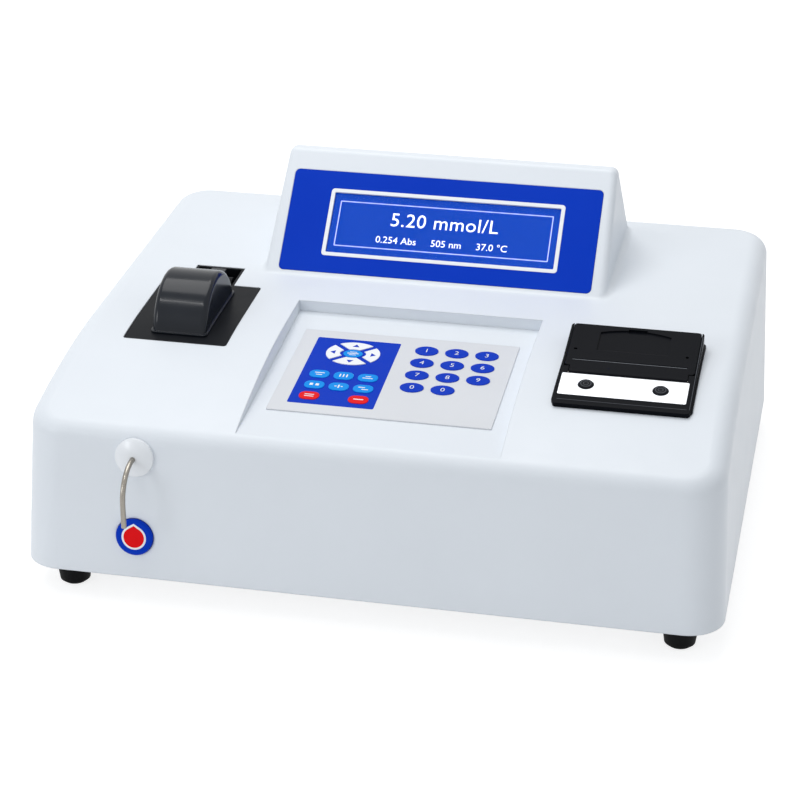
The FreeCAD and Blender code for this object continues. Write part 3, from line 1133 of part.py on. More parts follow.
def build_bench():
    """The plate that carries the light path, on four posts from the tray."""
    top = f"({BEAM} - 20)"
    plate = block("bench_plate", ("-bench_left", "-bench_right"), ("bench_front", "bench_back"),
                  (f"{top} - bench_thick", top))
    posts = [rod(f"bench_post_{index}", "post_radius", x, y, TRAY_TOP, f"{top} - bench_thick - {TRAY_TOP}")
             for index, (x, y) in enumerate([(x, y) for x in ("8 - bench_left", "-bench_right - 8")
                                             for y in ("bench_front + 8", "bench_back - 8")])]
    disc = block("bench_wheel_room", middle("-wheel_x", "wheel_thick + 4"),
                 middle("lid_axis_y", "2 * wheel_room"), ("60", "140"))
    can = block("bench_motor_room", ("-wheel_x", "-wheel_x + wheel_motor_long + 8"),
                middle("lid_axis_y", "2 * wheel_motor_radius + 2"), ("60", "140"))
    node(cut("bench", fuse("bench_whole", plate, *posts), disc, can), "optics_bench")


def build_lamp():
    """The finned lamp housing with the lamp and the condenser lens in line with the beam."""
    low = f"({BEAM} - 20)"
    right = "lamp_long - lamp_left"
    body = block("lamp_body", ("-lamp_left", right), middle("lid_axis_y", "lamp_wide"),
                 (low, f"{low} + lamp_high"))
    rooms = [rod("lamp_room", "bulb_radius + 2.55", "5 - lamp_left", "lid_axis_y", BEAM, "lamp_long", "X"),
             rod("lens_seat", "lens_radius + 0.05", "-lamp_left - 1", "lid_axis_y", BEAM,
                 "lens_thick + 1", "X")]
    count = int(number("fin_count"))
    for index in range(count):
        x = f"14 - lamp_left + {index} * (lamp_long - 16) / {count}"
        rooms.append(block(f"fin_gap_{index}", (x, f"{x} + 2"), middle("lid_axis_y", "60"),
                           (f"{low} + lamp_high - 6", "160")))
    node(cut("lamp_case", body, *rooms), "lamp_housing")
    glass = rod("lamp_glass", "bulb_radius", "12 - lamp_left", "lid_axis_y", BEAM, "bulb_long", "X")
    bulb = rounded("lamp_bulb", glass, (lambda edge: not runs_along(edge, X_AXIS), "3"))
    base = rod("lamp_base", "bulb_radius + 2.5", "12 - lamp_left + bulb_long - 2", "lid_axis_y", BEAM, "8",
               "X")
    node(fuse("lamp_whole", bulb, base), "lamp")
    lens = rod("lens_disc", "lens_radius", "-lamp_left", "lid_axis_y", BEAM, "lens_thick", "X")
    node(rounded("lens", lens, (lambda edge: not runs_along(edge, X_AXIS), "1.6")), "condenser_lens")


WHEEL_Z = f"({BEAM} - wheel_ring)"


def build_filters():
    """The filter wheel on its motor, with a filter in each hole."""
    disc = rod("wheel_disc", "wheel_radius", "-wheel_x - wheel_thick / 2", "lid_axis_y", WHEEL_Z,
               "wheel_thick", "X")
    hub = rod("wheel_hub", "wheel_hub", "wheel_thick / 2 - wheel_x - 0.5", "lid_axis_y", WHEEL_Z, "4", "X")
    count = int(number("filter_count"))
    holes, filters = [], []
    for index in range(count):
        angle = f"({360 * index / count} * 1 deg)"
        y, z = f"lid_axis_y + wheel_ring * sin{angle}", f"{WHEEL_Z} + wheel_ring * cos{angle}"
        holes.append(rod(f"filter_hole_{index}", "filter_radius + 0.05", "-wheel_x - 8", y, z, "16", "X"))
        filters.append(rod(f"filter_{index}", "filter_radius", "-wheel_x - filter_thick / 2", y, z,
                           "filter_thick", "X"))
    holes.append(rod("wheel_bore", "wheel_shaft + 0.02", "-wheel_x - 8", "lid_axis_y", WHEEL_Z, "16", "X"))
    node(cut("wheel", fuse("wheel_whole", disc, hub), *holes), "filter_wheel")
    node(group("filters", *filters), "filter_set")
    start = "(wheel_thick / 2 - wheel_x + 4.2)"
    can = rod("wheel_can", "wheel_motor_radius", start, "lid_axis_y", WHEEL_Z, "wheel_motor_long", "X")
    shaft = rod("wheel_axle", "wheel_shaft", "-wheel_x - 3", "lid_axis_y", WHEEL_Z,
                f"{start} + wheel_x + 4", "X")
    flange = block("wheel_flange", (start, f"{start} + 3"),
                   middle("lid_axis_y", "2 * wheel_motor_radius + 6"),
                   (f"{WHEEL_Z} - wheel_motor_radius", f"{BEAM} - 20 - bench_thick"))
    node(fuse("wheel_drive", can, shaft, flange), "filter_motor")


def build_sensor():
    """The board with the light sensor on the far side of the well."""
    low = f"({BEAM} - 20)"
    board = block("sensor_plate", ("-sensor_x - board_thick", "-sensor_x"),
                  middle("lid_axis_y", "sensor_wide"),
                  (low, f"{low} + sensor_high"))
    can = rod("sensor_can", "5", "-sensor_x", "lid_axis_y", BEAM, "4", "X")
    foot = block("sensor_foot", ("-sensor_x - board_thick", "8 - sensor_x"),
                 middle("lid_axis_y", "sensor_wide"),
                 (low, f"{low} + 2"))
    node(fuse("sensor", board, can, foot), "sensor_board")


def build_pump():
    """The peristaltic pump: a head with a curved track, a rotor with three rollers and the motor."""
    y0, y1 = "pump_front", "pump_front + pump_deep"
    x, z = "-pump_x", "pump_z"
    head = rod("pump_drum", "pump_outer", x, y0, z, "pump_deep", "Y")
    feet = block("pump_foot", middle(x, "2 * pump_outer - 4"), (y0, f"{y1} + pump_back"),
                 (TRAY_TOP, "pump_z"))
    track = rod("pump_track_room", "pump_track", x, f"{y0} - 1", z, "pump_deep + 1", "Y")
    inside = "pump_track - 0.02"
    mouths = block("pump_mouths", (f"{x} - {inside}", f"{x} + {inside}"), (f"{y0} - 1", f"{y1}"),
                   (f"{TRAY_TOP} + 3", z))
    back = rod("pump_plate", "pump_outer", x, y1, z, "pump_back", "Y")
    whole = fuse("pump_whole", cut("pump_open", fuse("pump_body", head, feet), track, mouths), back)
    bore = rod("pump_bore", "pump_shaft + 0.3", x, y0, z, "60", "Y")
    way = [rod(f"pump_way_{name}", "hose_radius + 0.2", f"{x} + {sign} * (pump_track - hose_radius - 0.1)",
               f"{y0} + pump_deep / 2", f"{TRAY_TOP} + 6", "80", "Y") for name, sign in SIDES]
    node(cut("pump_case", whole, bore, *way), "pump_head")
    radius = f"({PUMP_ROLL})"
    plates = [rod(f"rotor_plate_{name}", "rotor_radius", x, y, z, "rotor_plate", "Y")
              for name, y in (("front", f"{y0} + 1.5"), ("back", f"{y1} - 1.5 - rotor_plate"))]
    core = rod("rotor_core", "5.5", x, f"{y0} + 1.5", z, "pump_deep - 3", "Y")
    pins, rollers = [], []
    for index in range(3):
        angle = f"({120 * index + 90} * 1 deg)"
        px, pz = f"{x} + {radius} * cos{angle}", f"{z} + {radius} * sin{angle}"
        pins.append(rod(f"roller_pin_{index}", "roller_pin", px, f"{y0} + 1.5", pz, "pump_deep - 3", "Y"))
        start = f"{y0} + 1.5 + rotor_plate + 0.2"
        roll = rod(f"roller_rod_{index}", "roller_radius", px, start, pz,
                   "pump_deep - 3.4 - 2 * rotor_plate", "Y")
        hole = rod(f"roller_hole_{index}", "roller_pin + 0.06", px, y0, pz, "pump_deep", "Y")
        rollers.append(cut(f"roller_{index}", roll, hole))
    bore = rod("rotor_bore", "pump_shaft + 0.02", x, y0, z, "pump_deep", "Y")
    node(cut("rotor", fuse("rotor_whole", *plates, core, *pins), bore), "pump_rotor")
    for index, roller in enumerate(rollers, start=1):
        node(roller, f"pump_roller_{index}")
    can = rod("pump_can", "pump_motor_radius", x, f"{y1} + pump_back + 0.2", z, "pump_motor_long", "Y")
    axle = rod("pump_axle", "pump_shaft", x, f"{y0} + 2", z, "pump_deep + pump_back", "Y")
    node(fuse("pump_drive", can, axle), "pump_motor")


PUMP_ROLL = "pump_track - 2 * hose_radius - roller_radius - 0.3"


def build_boards():
    """The main board on its posts, with its chips and connectors, and the power supply."""
    low = f"({TRAY_TOP} + standoff_high)"
    board = block("main_plate", ("main_left", "main_right"), ("main_front", "main_back"),
                  (low, f"{low} + board_thick"))
    parts = [board]
    top = f"{low} + board_thick"
    chips = (("0.32", "0.5", "24", "24", "2.4"), ("0.62", "0.35", "14", "20", "2"),
             ("0.62", "0.7", "18", "12", "2"),
             ("0.14", "0.8", "30", "8", "9"), ("0.86", "0.2", "30", "8", "9"),
             ("0.86", "0.7", "10", "24", "6"))
    for index, (across, deep, wide, long, high) in enumerate(chips):
        parts.append(block(f"chip_{index}", middle(f"main_left + {across} * (main_right - main_left)",
                                                   wide),
                           middle(f"main_front + {deep} * (main_back - main_front)", long),
                           (low, f"{top} + {high}")))
    for index in range(3):
        parts.append(rod(f"capacitor_{index}", "4.5",
                         f"main_left + 0.4 * (main_right - main_left) + {index} * 12",
                         "main_back - 14", low, "16"))
    whole = fuse("main_whole", *parts)
    holes = [rod(f"board_hole_{index}", "board_screw + 0.1", x, y, low + " - 1", "6")
             for index, (x, y) in enumerate(BOARD_SPOTS)]
    node(cut("main", whole, *holes), "main_board")
    box = block("supply_box", ("supply_left", "supply_right"), (SUPPLY_FRONT, SUPPLY_BACK),
                (TRAY_TOP, f"{TRAY_TOP} + supply_high"))
    inside = block("supply_inside", ("supply_left + 1.5", "supply_right - 1.5"),
                   (f"{SUPPLY_FRONT} + 1.5", f"{SUPPLY_BACK} - 1.5"),
                   (f"{TRAY_TOP} + 1.5", f"{TRAY_TOP} + supply_high - 1.5"))
    vents = [block(f"supply_vent_{index}", middle("(supply_left + supply_right) / 2", "78"),
                   middle(f"{SUPPLY_FRONT} + 14 + {index} * 8", "3"),
                   (f"{TRAY_TOP} + supply_high - 4", "90"))
             for index in range(8)]
    node(cut("supply", box, inside, *vents), "power_supply")


def build_fan():
    """The fan behind its grille: a square frame and a turning rotor."""
    far = "(-cover_wall - fan_deep)"
    body = prism("fan_box", "XZ_Plane", [
        ("panel", *middle("fan_x", "fan_side"), *middle("fan_up", "fan_side"), "fan_corner"),
        ("circle", "fan_x", "fan_up", "fan_bore"),
    ], far, "fan_deep")
    bars = [block("fan_bar_level", middle("fan_x", "2 * fan_bore + 1"), (far, f"{far} + 2"),
                  middle("fan_up", "4")),
            block("fan_bar_upright", middle("fan_x", "4"), (far, f"{far} + 2"),
                  middle("fan_up", "2 * fan_bore + 1")),
            rod("fan_seat", "fan_hub", "fan_x", far, "fan_up", "2", "Y"),
            rod("fan_axle", "1.5", "fan_x", far, "fan_up", "fan_deep - 3", "Y")]
    node(fuse("fan_whole", body, *bars), "fan_frame", "rear")
    start = f"({far} + 2.6)"
    hub = rod("fan_hub", "fan_hub", "fan_x", start, "fan_up", "fan_deep - 3.8", "Y")
    blades = []
    for index in range(int(number("fan_blades"))):
        blade = block(f"blade_{index}", ("fan_hub - 1.5", "fan_bore - 1"), middle("0", "10"),
                      middle("0", "1.2"))
        turned_blade = group(f"blade_turned_{index}", blade)
        turn = FreeCAD.Rotation(Y_AXIS, 360 * index / number("fan_blades")) * FreeCAD.Rotation(X_AXIS, 38)
        turned_blade.Placement = FreeCAD.Placement(FreeCAD.Vector(), turn)
        blades.append(place(turned_blade, "fan_x", f"{start} + (fan_deep - 3.8) / 2", "fan_up"))
    bore = rod("fan_bore_room", "1.54", "fan_x", f"{start} - 1", "fan_up", "fan_deep - 4", "Y")
    node(cut("fan_bored", fuse("fan_bladed", hub, *blades), bore), "fan_rotor", "rear")


def build_mains():
    """The mains inlet with its screws, and the power switch beside it."""
    flange = prism("inlet_flange", "XZ_Plane", [
        ("panel", *middle("inlet_x", "inlet_wide"), *middle("inlet_up", "inlet_high"), "4")], "0",
        "inlet_flange")
    body = block("inlet_body", middle("inlet_x", "socket_wide + 4"), ("-inlet_deep", "inlet_flange"),
                 middle("inlet_up", "socket_high + 4"))
    mouth = prism("socket_room", "XZ_Plane", [[
        ("inlet_x - socket_wide / 2", "inlet_up - socket_high / 2"),
        ("inlet_x - socket_wide / 2", "inlet_up + socket_high / 2 - 5"),
        ("inlet_x - socket_wide / 2 + 5", "inlet_up + socket_high / 2"),
        ("inlet_x + socket_wide / 2 - 5", "inlet_up + socket_high / 2"),
        ("inlet_x + socket_wide / 2", "inlet_up + socket_high / 2 - 5"),
        ("inlet_x + socket_wide / 2", "inlet_up - socket_high / 2"),
    ]], "inlet_flange - socket_deep", "socket_deep + 2")
    holes = [rod(f"flange_hole_{name}", "1.55", f"inlet_x + {sign} * inlet_screw", "-1", "inlet_up", "9",
                 "Y")
             for name, sign in SIDES]
    pins = [block(f"inlet_pin_{index}", middle(f"inlet_x + ({across})", "2"),
                  ("inlet_flange - socket_deep - 1", "-2"), middle(f"inlet_up + ({up})", "4"))
            for index, (across, up) in enumerate((("-7", "-2"), ("7", "-2"), ("0", "2.5")))]
    node(fuse("inlet", cut("inlet_open", fuse("inlet_whole", flange, body), mouth, *holes), *pins),
         "mains_inlet",
         "rear")
    plate = prism("switch_flange", "XZ_Plane", [
        ("panel", *middle("switch_x", "switch_wide"), *middle("inlet_up", "switch_high"), "1.5")], "0",
        "1.6")
    box = block("switch_box", middle("switch_x", "switch_wide - 3.2"), ("-switch_deep", "1"),
                middle("inlet_up", "switch_high - 3.2"))
    room = block("rocker_room", middle("switch_x", "rocker_wide + 1.8"), ("-rocker_deep - 7", "6"),
                 middle("inlet_up", "rocker_high + 0.8"))
    frame = cut("switch_open", fuse("switch_whole", plate, box), room)
    pin = rod("rocker_pin", "1", "switch_x", "-rocker_deep", "inlet_up - rocker_high / 2 - 1",
              "rocker_high + 2")
    node(fuse("switch_pinned", frame, pin), "switch_frame", "rear")
    half = "(rocker_wide / 2)"
    level = prism("rocker_level", "XY_Plane", [[
        (f"-{half}", "-1.5"), (f"-{half}", "4.2"), ("0", "2.6"), (half, "4.2"), (half, "-1.5"), ("0", "-4"),
    ], ("circle", "0", "0", "1.06")], "-rocker_high / 2", "rocker_high")
    tilted = group("rocker_tilted", level)
    tilted.setExpression("Placement.Rotation.Angle", linked("rocker_swing"))
    place(tilted, "switch_x", "-rocker_deep", "inlet_up")
    node(group("rocker", tilted), "power_rocker", "rear")


def build_serial():
    """The nine-pin data port and the waste tube's nipple."""
    plate = prism("serial_plate", "XZ_Plane", [
        ("panel", *middle("serial_x", "serial_wide"), *middle("serial_up", "serial_high"), "2")], "0", "1")
    box = block("serial_box", middle("serial_x", "serial_wide - 11.8"), ("-8", "0.5"),
                middle("serial_up", "serial_high - 2.3"))
    shell = prism("serial_shell", "XZ_Plane", [shell_outline("0")], "0.5", "6")
    room = prism("serial_shell_room", "XZ_Plane", [shell_outline("0.5")], "1.2", "8")
    pins = []
    for row, count in enumerate((5, 4)):
        for index in range(count):
            pins.append(rod(f"serial_pin_{row}_{index}", "0.5",
                            f"serial_x + ({index - (count - 1) / 2}) * 2.76",
                            "0", f"serial_up + 1.4 - {row} * 2.8", "5.2", "Y"))
    posts = [prism(f"serial_post_{name}", "XZ_Plane", [
        ("circle", f"serial_x + {sign} * (serial_wide / 2 - 3)", "serial_up", "2.2")], "0.5", "5.5")
        for name, sign in SIDES]
    whole = fuse("serial_whole", plate, box, shell, *posts)
    node(fuse("serial", cut("serial_open", whole, room), *pins), "serial_port", "rear")
    corners = [
        ("nipple_bore", "-8"), ("nipple_bore", "nipple_long"), ("nipple_bore + 0.7", "nipple_long"),
        ("nipple_radius", "nipple_long - 3.4"), ("nipple_bore + 0.9", "nipple_long - 3.4"),
        ("nipple_bore + 0.9", "2"), ("nipple_radius + 3", "2"), ("nipple_radius + 3", "0"),
        ("nipple_radius", "0"),
        ("nipple_radius", "-8"),
    ]
    nipple = along(turned("nipple", corners), "Y", "-nipple_x", "0", "nipple_up")
    node(group("waste_nipple", nipple), "waste_port", "rear")


def shell_outline(inset):
    """The outline of the data port's metal shell, drawn in by inset."""
    wide, narrow, high = f"(8.4 - {inset})", f"(7.6 - {inset})", f"(4.1 - {inset})"
    return [(f"serial_x - {wide}", f"serial_up + {high}"), (f"serial_x + {wide}", f"serial_up + {high}"),
            (f"serial_x + {narrow}", f"serial_up - {high}"),
            (f"serial_x - {narrow}", f"serial_up - {high}")]


build_cover()
build_tray()
build_feet()
build_display()
build_keypad()
build_well()
build_lid()
build_cell()
build_sipper()
build_touch()
build_printer_frame()
build_printer_door()
build_printer_keys()
build_printer_works()
build_bench()
build_lamp()
build_filters()
build_sensor()
build_pump()
build_hoses()
build_boards()
build_fan()
build_mains()
build_serial()
doc.recompute()

faults = [item.Name for item in doc.Objects if "Invalid" in item.State or "Error" in item.State]
for item in NODES:
    if item.Shape.isNull() or not item.Shape.isValid() or not item.Shape.Solids:
        faults.append(item.Label)
if faults:
    raise RuntimeError("these objects failed: " + ", ".join(faults))

os.makedirs("parts", exist_ok=True)
for item in NODES:
    item.Shape.exportStep(f"parts/{item.Label}.step")
print(len(NODES), "pieces written")
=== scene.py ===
"""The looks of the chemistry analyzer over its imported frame: camera, light, materials and print.

Places and sizes on a face are in millimetres, those of the camera, lights and materials in metres.
"""
import math

import bmesh
import bpy
from mathutils import Matrix, Vector


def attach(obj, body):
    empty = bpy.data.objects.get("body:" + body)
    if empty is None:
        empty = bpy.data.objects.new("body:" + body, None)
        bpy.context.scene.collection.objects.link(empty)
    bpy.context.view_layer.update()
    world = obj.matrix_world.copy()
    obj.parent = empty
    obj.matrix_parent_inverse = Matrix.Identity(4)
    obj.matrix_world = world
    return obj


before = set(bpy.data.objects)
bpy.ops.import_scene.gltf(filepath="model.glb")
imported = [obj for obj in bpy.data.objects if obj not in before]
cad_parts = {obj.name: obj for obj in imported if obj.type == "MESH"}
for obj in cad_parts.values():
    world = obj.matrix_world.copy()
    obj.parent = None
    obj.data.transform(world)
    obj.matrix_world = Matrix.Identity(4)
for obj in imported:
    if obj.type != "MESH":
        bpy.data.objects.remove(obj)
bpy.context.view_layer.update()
scene = bpy.context.scene

# The foot of the cover's front wall, behind the origin.
FRONT_Y = -0.1786946
MM = 0.001


def tilted(y, z, degrees):
    """The frame of a face at y, z behind the cover's front edge, tipped about X."""
    return Matrix.Translation((0, y + FRONT_Y, z)) @ Matrix.Rotation(math.radians(degrees), 4, "X")


# The front wall, the keypad, the hood's face and the printer's top.
WALL = tilted(0, 0.0209, -6.2)
KEYS = tilted(0.1783, 0.133016, 5.27)
FACE = tilted(0.217, 0.142303, 44.6)
DECK = tilted(0.0688, 0.1339144, 11)

# ---- camera and light

CAMERA_LENS = 107.259
CAMERA_PLACE = (0.2874027, -1.2359729 + FRONT_Y, 0.7486860)
CAMERA_RIGHT = (0.978071, 0.208270, 0.000423)
CAMERA_UP = (-0.088435, 0.413465, 0.906215)

# The floor's half width, what it is to the light, and what it is to the camera.
FLOOR_HALF = 9
FLOOR_PAPER = 0.93
FLOOR_ROUGH = 0.7
FLOOR_SHADE = 0.42
FLOOR_GLOW = 0.8

WORLD_COLOUR = (0.93, 0.965, 1.0, 1)
WORLD_STRENGTH = 0.5


def make_camera():
    """The photograph's view."""
    camera = bpy.data.cameras.new("camera")
    camera.lens = CAMERA_LENS
    camera.sensor_width = 36
    camera.clip_start = 0.1
    camera.clip_end = 20
    seen = bpy.data.objects.new("camera", camera)
    right, up = Vector(CAMERA_RIGHT), Vector(CAMERA_UP)
    turn = Matrix((right, up, right.cross(up))).transposed().to_4x4()
    seen.matrix_world = Matrix.Translation(CAMERA_PLACE) @ turn
    scene.collection.objects.link(seen)
    scene.camera = seen


def area_light(name, place, target, size, power, colour, depth=None):
    """A soft panel of light turned to a target: round, or with a depth a strip."""
    light = bpy.data.lights.new(name, "AREA")
    light.shape = "RECTANGLE" if depth else "DISK"
    light.size = size
    if depth:
        light.size_y = depth
    light.energy = power
    light.color = colour
    lamp = bpy.data.objects.new(name, light)
    lamp.location = place
    lamp.rotation_euler = (Vector(target) - Vector(place)).to_track_quat("-Z", "Y").to_euler()
    scene.collection.objects.link(lamp)


def wire(tree, start, socket, end, target):
    """Links an output, by name or number, to an input."""
    tree.links.new(start.outputs[socket], end.inputs[target])


def seen_directly(tree):
    """One for rays from the camera, gloss or glass, and nought for those that light the object."""
    path = tree.nodes.new("ShaderNodeLightPath")
    seen, output = path, "Is Camera Ray"
    for ray in ("Is Glossy Ray", "Is Transmission Ray"):
        either = tree.nodes.new("ShaderNodeMath")
        either.operation = "MAXIMUM"
        wire(tree, seen, output, either, 0)
        wire(tree, path, ray, either, 1)
        seen, output = either, 0
    return seen


def two_faced(tree, lighting, seen, end):
    """Sends one shader to the rays that light the object, and the other to those that see it."""
    mix = tree.nodes.new("ShaderNodeMixShader")
    wire(tree, seen_directly(tree), 0, mix, 0)
    wire(tree, lighting, 0, mix, 1)
    wire(tree, seen, 0, mix, 2)
    wire(tree, mix, 0, tree.nodes[end], "Surface")


def grey(value):
    """A linear grey."""
    return (value, value, value, 1)


def make_floor():
    """A white floor that shows only a soft shadow."""
    mesh = bpy.data.meshes.new("floor")
    half = FLOOR_HALF
    corners = [(-half, -half, 0), (half, -half, 0), (half, half, 0), (-half, half, 0)]
    mesh.from_pydata(corners, [], [(0, 1, 2, 3)])
    floor = bpy.data.objects.new("floor", mesh)
    scene.collection.objects.link(floor)
    item = bpy.data.materials.new("floor_white")
    item.use_nodes = True
    tree = item.node_tree
    paper = tree.nodes["Principled BSDF"]
    paper.inputs["Base Color"].default_value = grey(FLOOR_PAPER)
    paper.inputs["Roughness"].default_value = FLOOR_ROUGH
    shade = tree.nodes.new("ShaderNodeBsdfDiffuse")
    shade.inputs["Color"].default_value = grey(FLOOR_SHADE)
    glow = tree.nodes.new("ShaderNodeEmission")
    glow.inputs["Strength"].default_value = FLOOR_GLOW
    glowing = tree.nodes.new("ShaderNodeAddShader")
    wire(tree, shade, 0, glowing, 0)
    wire(tree, glow, 0, glowing, 1)
    two_faced(tree, paper, glowing, "Material Output")
    mesh.materials.append(item)


def make_stage():
    """Plain pale floor and soft studio light."""
    world = bpy.data.worlds.new("studio")
    scene.world = world
    world.use_nodes = True
    tree = world.node_tree
    sky = tree.nodes["Background"]
    sky.inputs["Color"].default_value = WORLD_COLOUR
    sky.inputs["Strength"].default_value = WORLD_STRENGTH
    white = tree.nodes.new("ShaderNodeBackground")
    white.inputs["Color"].default_value = grey(1)
    two_faced(tree, sky, white, "World Output")
    area_light("overhead", place=(-0.25, 0.35, 1.7), target=(0, 0, 0.1), size=1.3, power=14,
               colour=(1.0, 0.995, 0.985))
    area_light("front_fill", place=(-1.6, -2.0, 1.1), target=(0, 0, 0.1), size=0.9, power=10,
               colour=(0.96, 0.98, 1.0))
    area_light("strip", place=(-0.465, -0.64, 1.265), target=(-0.14, -0.03, 0.16), size=0.6,
               power=1.6, colour=(1.0, 1.0, 1.0), depth=0.05)
    make_floor()
    scene.view_settings.view_transform = "Standard"


# ---- materials

# The noise's middle range, which is stretched over each colour's or roughness's whole range.
NOISE_LOW, NOISE_HIGH = 0.3, 0.7
BEVEL_SAMPLES = 6

# Plastic: the size of its patches in colour and in roughness, and how far the roughness strays.
MOTTLE = 0.06
SMEAR = 0.018
PATCH_DETAIL = 4
GRAIN_DETAIL = 2
SMEAR_BELOW, SMEAR_ABOVE = 0.04, 0.05
COAT_ROUGH = 0.08

# Brushed metal: the stretch of its lines by axis, their colour, roughness and depth.
BRUSH_SCALE = {"X": (0.02, 1, 1), "Y": (1, 0.02, 1), "Z": (1, 1, 0.02)}
BRUSH_CRISP = 0.7
BRUSH_DARKER = 14
BRUSH_BELOW, BRUSH_ABOVE = 0.06, 0.08
BRUSH_DEPTH = 0.000008
FINE_EDGE = 0.0003

# Glass: the size of its smudges and what they add to the roughness.
SMUDGE = 0.02
SMUDGE_ABOVE = 0.06

# Circuit boards: the brick pattern that stands for tracks, and the solder mask.
TRACK_SCALE = 220
TRACK_WIDE = 0.03
TRACK_COLOURS = {"Color1": (18, 92, 52), "Color2": (20, 99, 58), "Mortar": (44, 132, 82)}
MASK_ROUGH = 0.35
MASK_GRAIN = 0.001
MASK_RELIEF = 0.00003


def linear(colour):
    """An sRGB colour of 0 to 255 as linear values."""
    values = [part / 255 for part in colour]
    return [part / 12.92 if part <= 0.04045 else ((part + 0.055) / 1.055) ** 2.4
            for part in values] + [1]


def base_material(name):
    """A material with its shader and a texture position in the object's own metres."""
    item = bpy.data.materials.new(name)
    item.use_nodes = True
    tree = item.node_tree
    shader = tree.nodes["Principled BSDF"]
    place = tree.nodes.new("ShaderNodeTexCoord")
    return item, tree, shader, place


def noise(tree, place, size, detail=3, stretch=(1, 1, 1), roughness=0.5):
    """Noise whose grains are about size metres across."""
    mapping = tree.nodes.new("ShaderNodeMapping")
    mapping.inputs["Scale"].default_value = stretch
    wire(tree, place, "Object", mapping, "Vector")
    texture = tree.nodes.new("ShaderNodeTexNoise")
    texture.inputs["Scale"].default_value = 1 / size
    texture.inputs["Detail"].default_value = detail
    texture.inputs["Roughness"].default_value = roughness
    wire(tree, mapping, "Vector", texture, "Vector")
    return texture


def spread(tree, texture, low, high):
    """The noise's middle range stretched to run from low to high."""
    ranger = tree.nodes.new("ShaderNodeMapRange")
    for name, value in (("From Min", NOISE_LOW), ("From Max", NOISE_HIGH), ("To Min", low),
                        ("To Max", high)):
        ranger.inputs[name].default_value = value
    wire(tree, texture, "Fac", ranger, "Value")
    return ranger


def roughened(tree, shader, texture, low, high):
    """The shader's roughness wandering between two values."""
    wire(tree, spread(tree, texture, low, high), "Result", shader, "Roughness")


def tinted(tree, shader, texture, colour, darker):
    """The shader's colour wandering between its own and one darker by some steps of 255."""
    mix = tree.nodes.new("ShaderNodeMix")
    mix.data_type = "RGBA"
    wire(tree, spread(tree, texture, 0, 1), "Result", mix, "Factor")
    mix.inputs["A"].default_value = linear(colour)
    mix.inputs["B"].default_value = linear([max(0, part - darker) for part in colour])
    wire(tree, mix, "Result", shader, "Base Color")


def bumped(tree, shader, texture, height, edge):
    """Relief of height metres from the noise, over edges softened by edge metres."""
    bump = tree.nodes.new("ShaderNodeBump")
    bump.inputs["Strength"].default_value = 1.0
    bump.inputs["Distance"].default_value = height
    wire(tree, texture, "Fac", bump, "Height")
    if edge:
        bevel = tree.nodes.new("ShaderNodeBevel")
        bevel.samples = BEVEL_SAMPLES
        bevel.inputs["Radius"].default_value = edge
        wire(tree, bevel, "Normal", bump, "Normal")
    wire(tree, bump, "Normal", shader, "Normal")


def moulded(name, colour, rough=0.4, grain=0.0009, relief=0.00002, edge=0.0006, wander=3, coat=0.0,
            sheen=0.0, gloss=0.5):
    """Plastic, rubber or print with fine grain, slight mottling and softened edges."""
    item, tree, shader, place = base_material(name)
    shader.inputs["Specular IOR Level"].default_value = gloss
    shader.inputs["Coat Weight"].default_value = coat
    shader.inputs["Coat Roughness"].default_value = COAT_ROUGH
    shader.inputs["Sheen Weight"].default_value = sheen
    tinted(tree, shader, noise(tree, place, MOTTLE, PATCH_DETAIL), colour, wander)
    roughened(tree, shader, noise(tree, place, SMEAR, PATCH_DETAIL), rough - SMEAR_BELOW,
              rough + SMEAR_ABOVE)
    bumped(tree, shader, noise(tree, place, grain, GRAIN_DETAIL), relief, edge)
    return item


def brushed(name, colour, rough=0.3, along="X", grain=0.0004):
    """Metal with fine lines along an axis."""
    item, tree, shader, place = base_material(name)
    shader.inputs["Metallic"].default_value = 1
    lines = noise(tree, place, grain, GRAIN_DETAIL, BRUSH_SCALE[along], BRUSH_CRISP)
    tinted(tree, shader, lines, colour, BRUSH_DARKER)
    roughened(tree, shader, lines, rough - BRUSH_BELOW, rough + BRUSH_ABOVE)
    bumped(tree, shader, lines, BRUSH_DEPTH, FINE_EDGE)
    return item


def clear(name, colour, rough=0.05, mix=0.9, ior=1.46):
    """Glass or clear plastic."""
    item, tree, shader, place = base_material(name)
    shader.inputs["Base Color"].default_value = linear(colour)
    shader.inputs["Transmission Weight"].default_value = mix
    shader.inputs["IOR"].default_value = ior
    roughened(tree, shader, noise(tree, place, SMUDGE), rough, rough + SMUDGE_ABOVE)
    return item


def lit(name, colour, strength):
    """A surface that shines by itself a little, as a display does."""
    item = moulded(name, colour, rough=0.3, grain=0.0006, relief=0.000003, edge=0, gloss=0.1)
    shader = item.node_tree.nodes["Principled BSDF"]
    shader.inputs["Emission Color"].default_value = linear(colour)
    shader.inputs["Emission Strength"].default_value = strength
    return item


def circuit(name):
    """Green solder mask with fine tracks."""
    item, tree, shader, place = base_material(name)
    bricks = tree.nodes.new("ShaderNodeTexBrick")
    bricks.inputs["Scale"].default_value = TRACK_SCALE
    bricks.inputs["Mortar Size"].default_value = TRACK_WIDE
    for socket, colour in TRACK_COLOURS.items():
        bricks.inputs[socket].default_value = linear(colour)
    wire(tree, place, "Object", bricks, "Vector")
    wire(tree, bricks, "Color", shader, "Base Color")
    shader.inputs["Roughness"].default_value = MASK_ROUGH
    bumped(tree, shader, noise(tree, place, MASK_GRAIN), MASK_RELIEF, FINE_EDGE)
    return item


# What several surfaces share.
INK = {"rough": 0.34, "grain": 0.0005, "relief": 0.000006, "edge": 0.0002}
DARK = {"grain": 0.0008, "relief": 0.000012, "edge": 0.0006}
TRIM = {"rough": 0.3, "grain": 0.0008, "relief": 0.000006, "edge": 0}

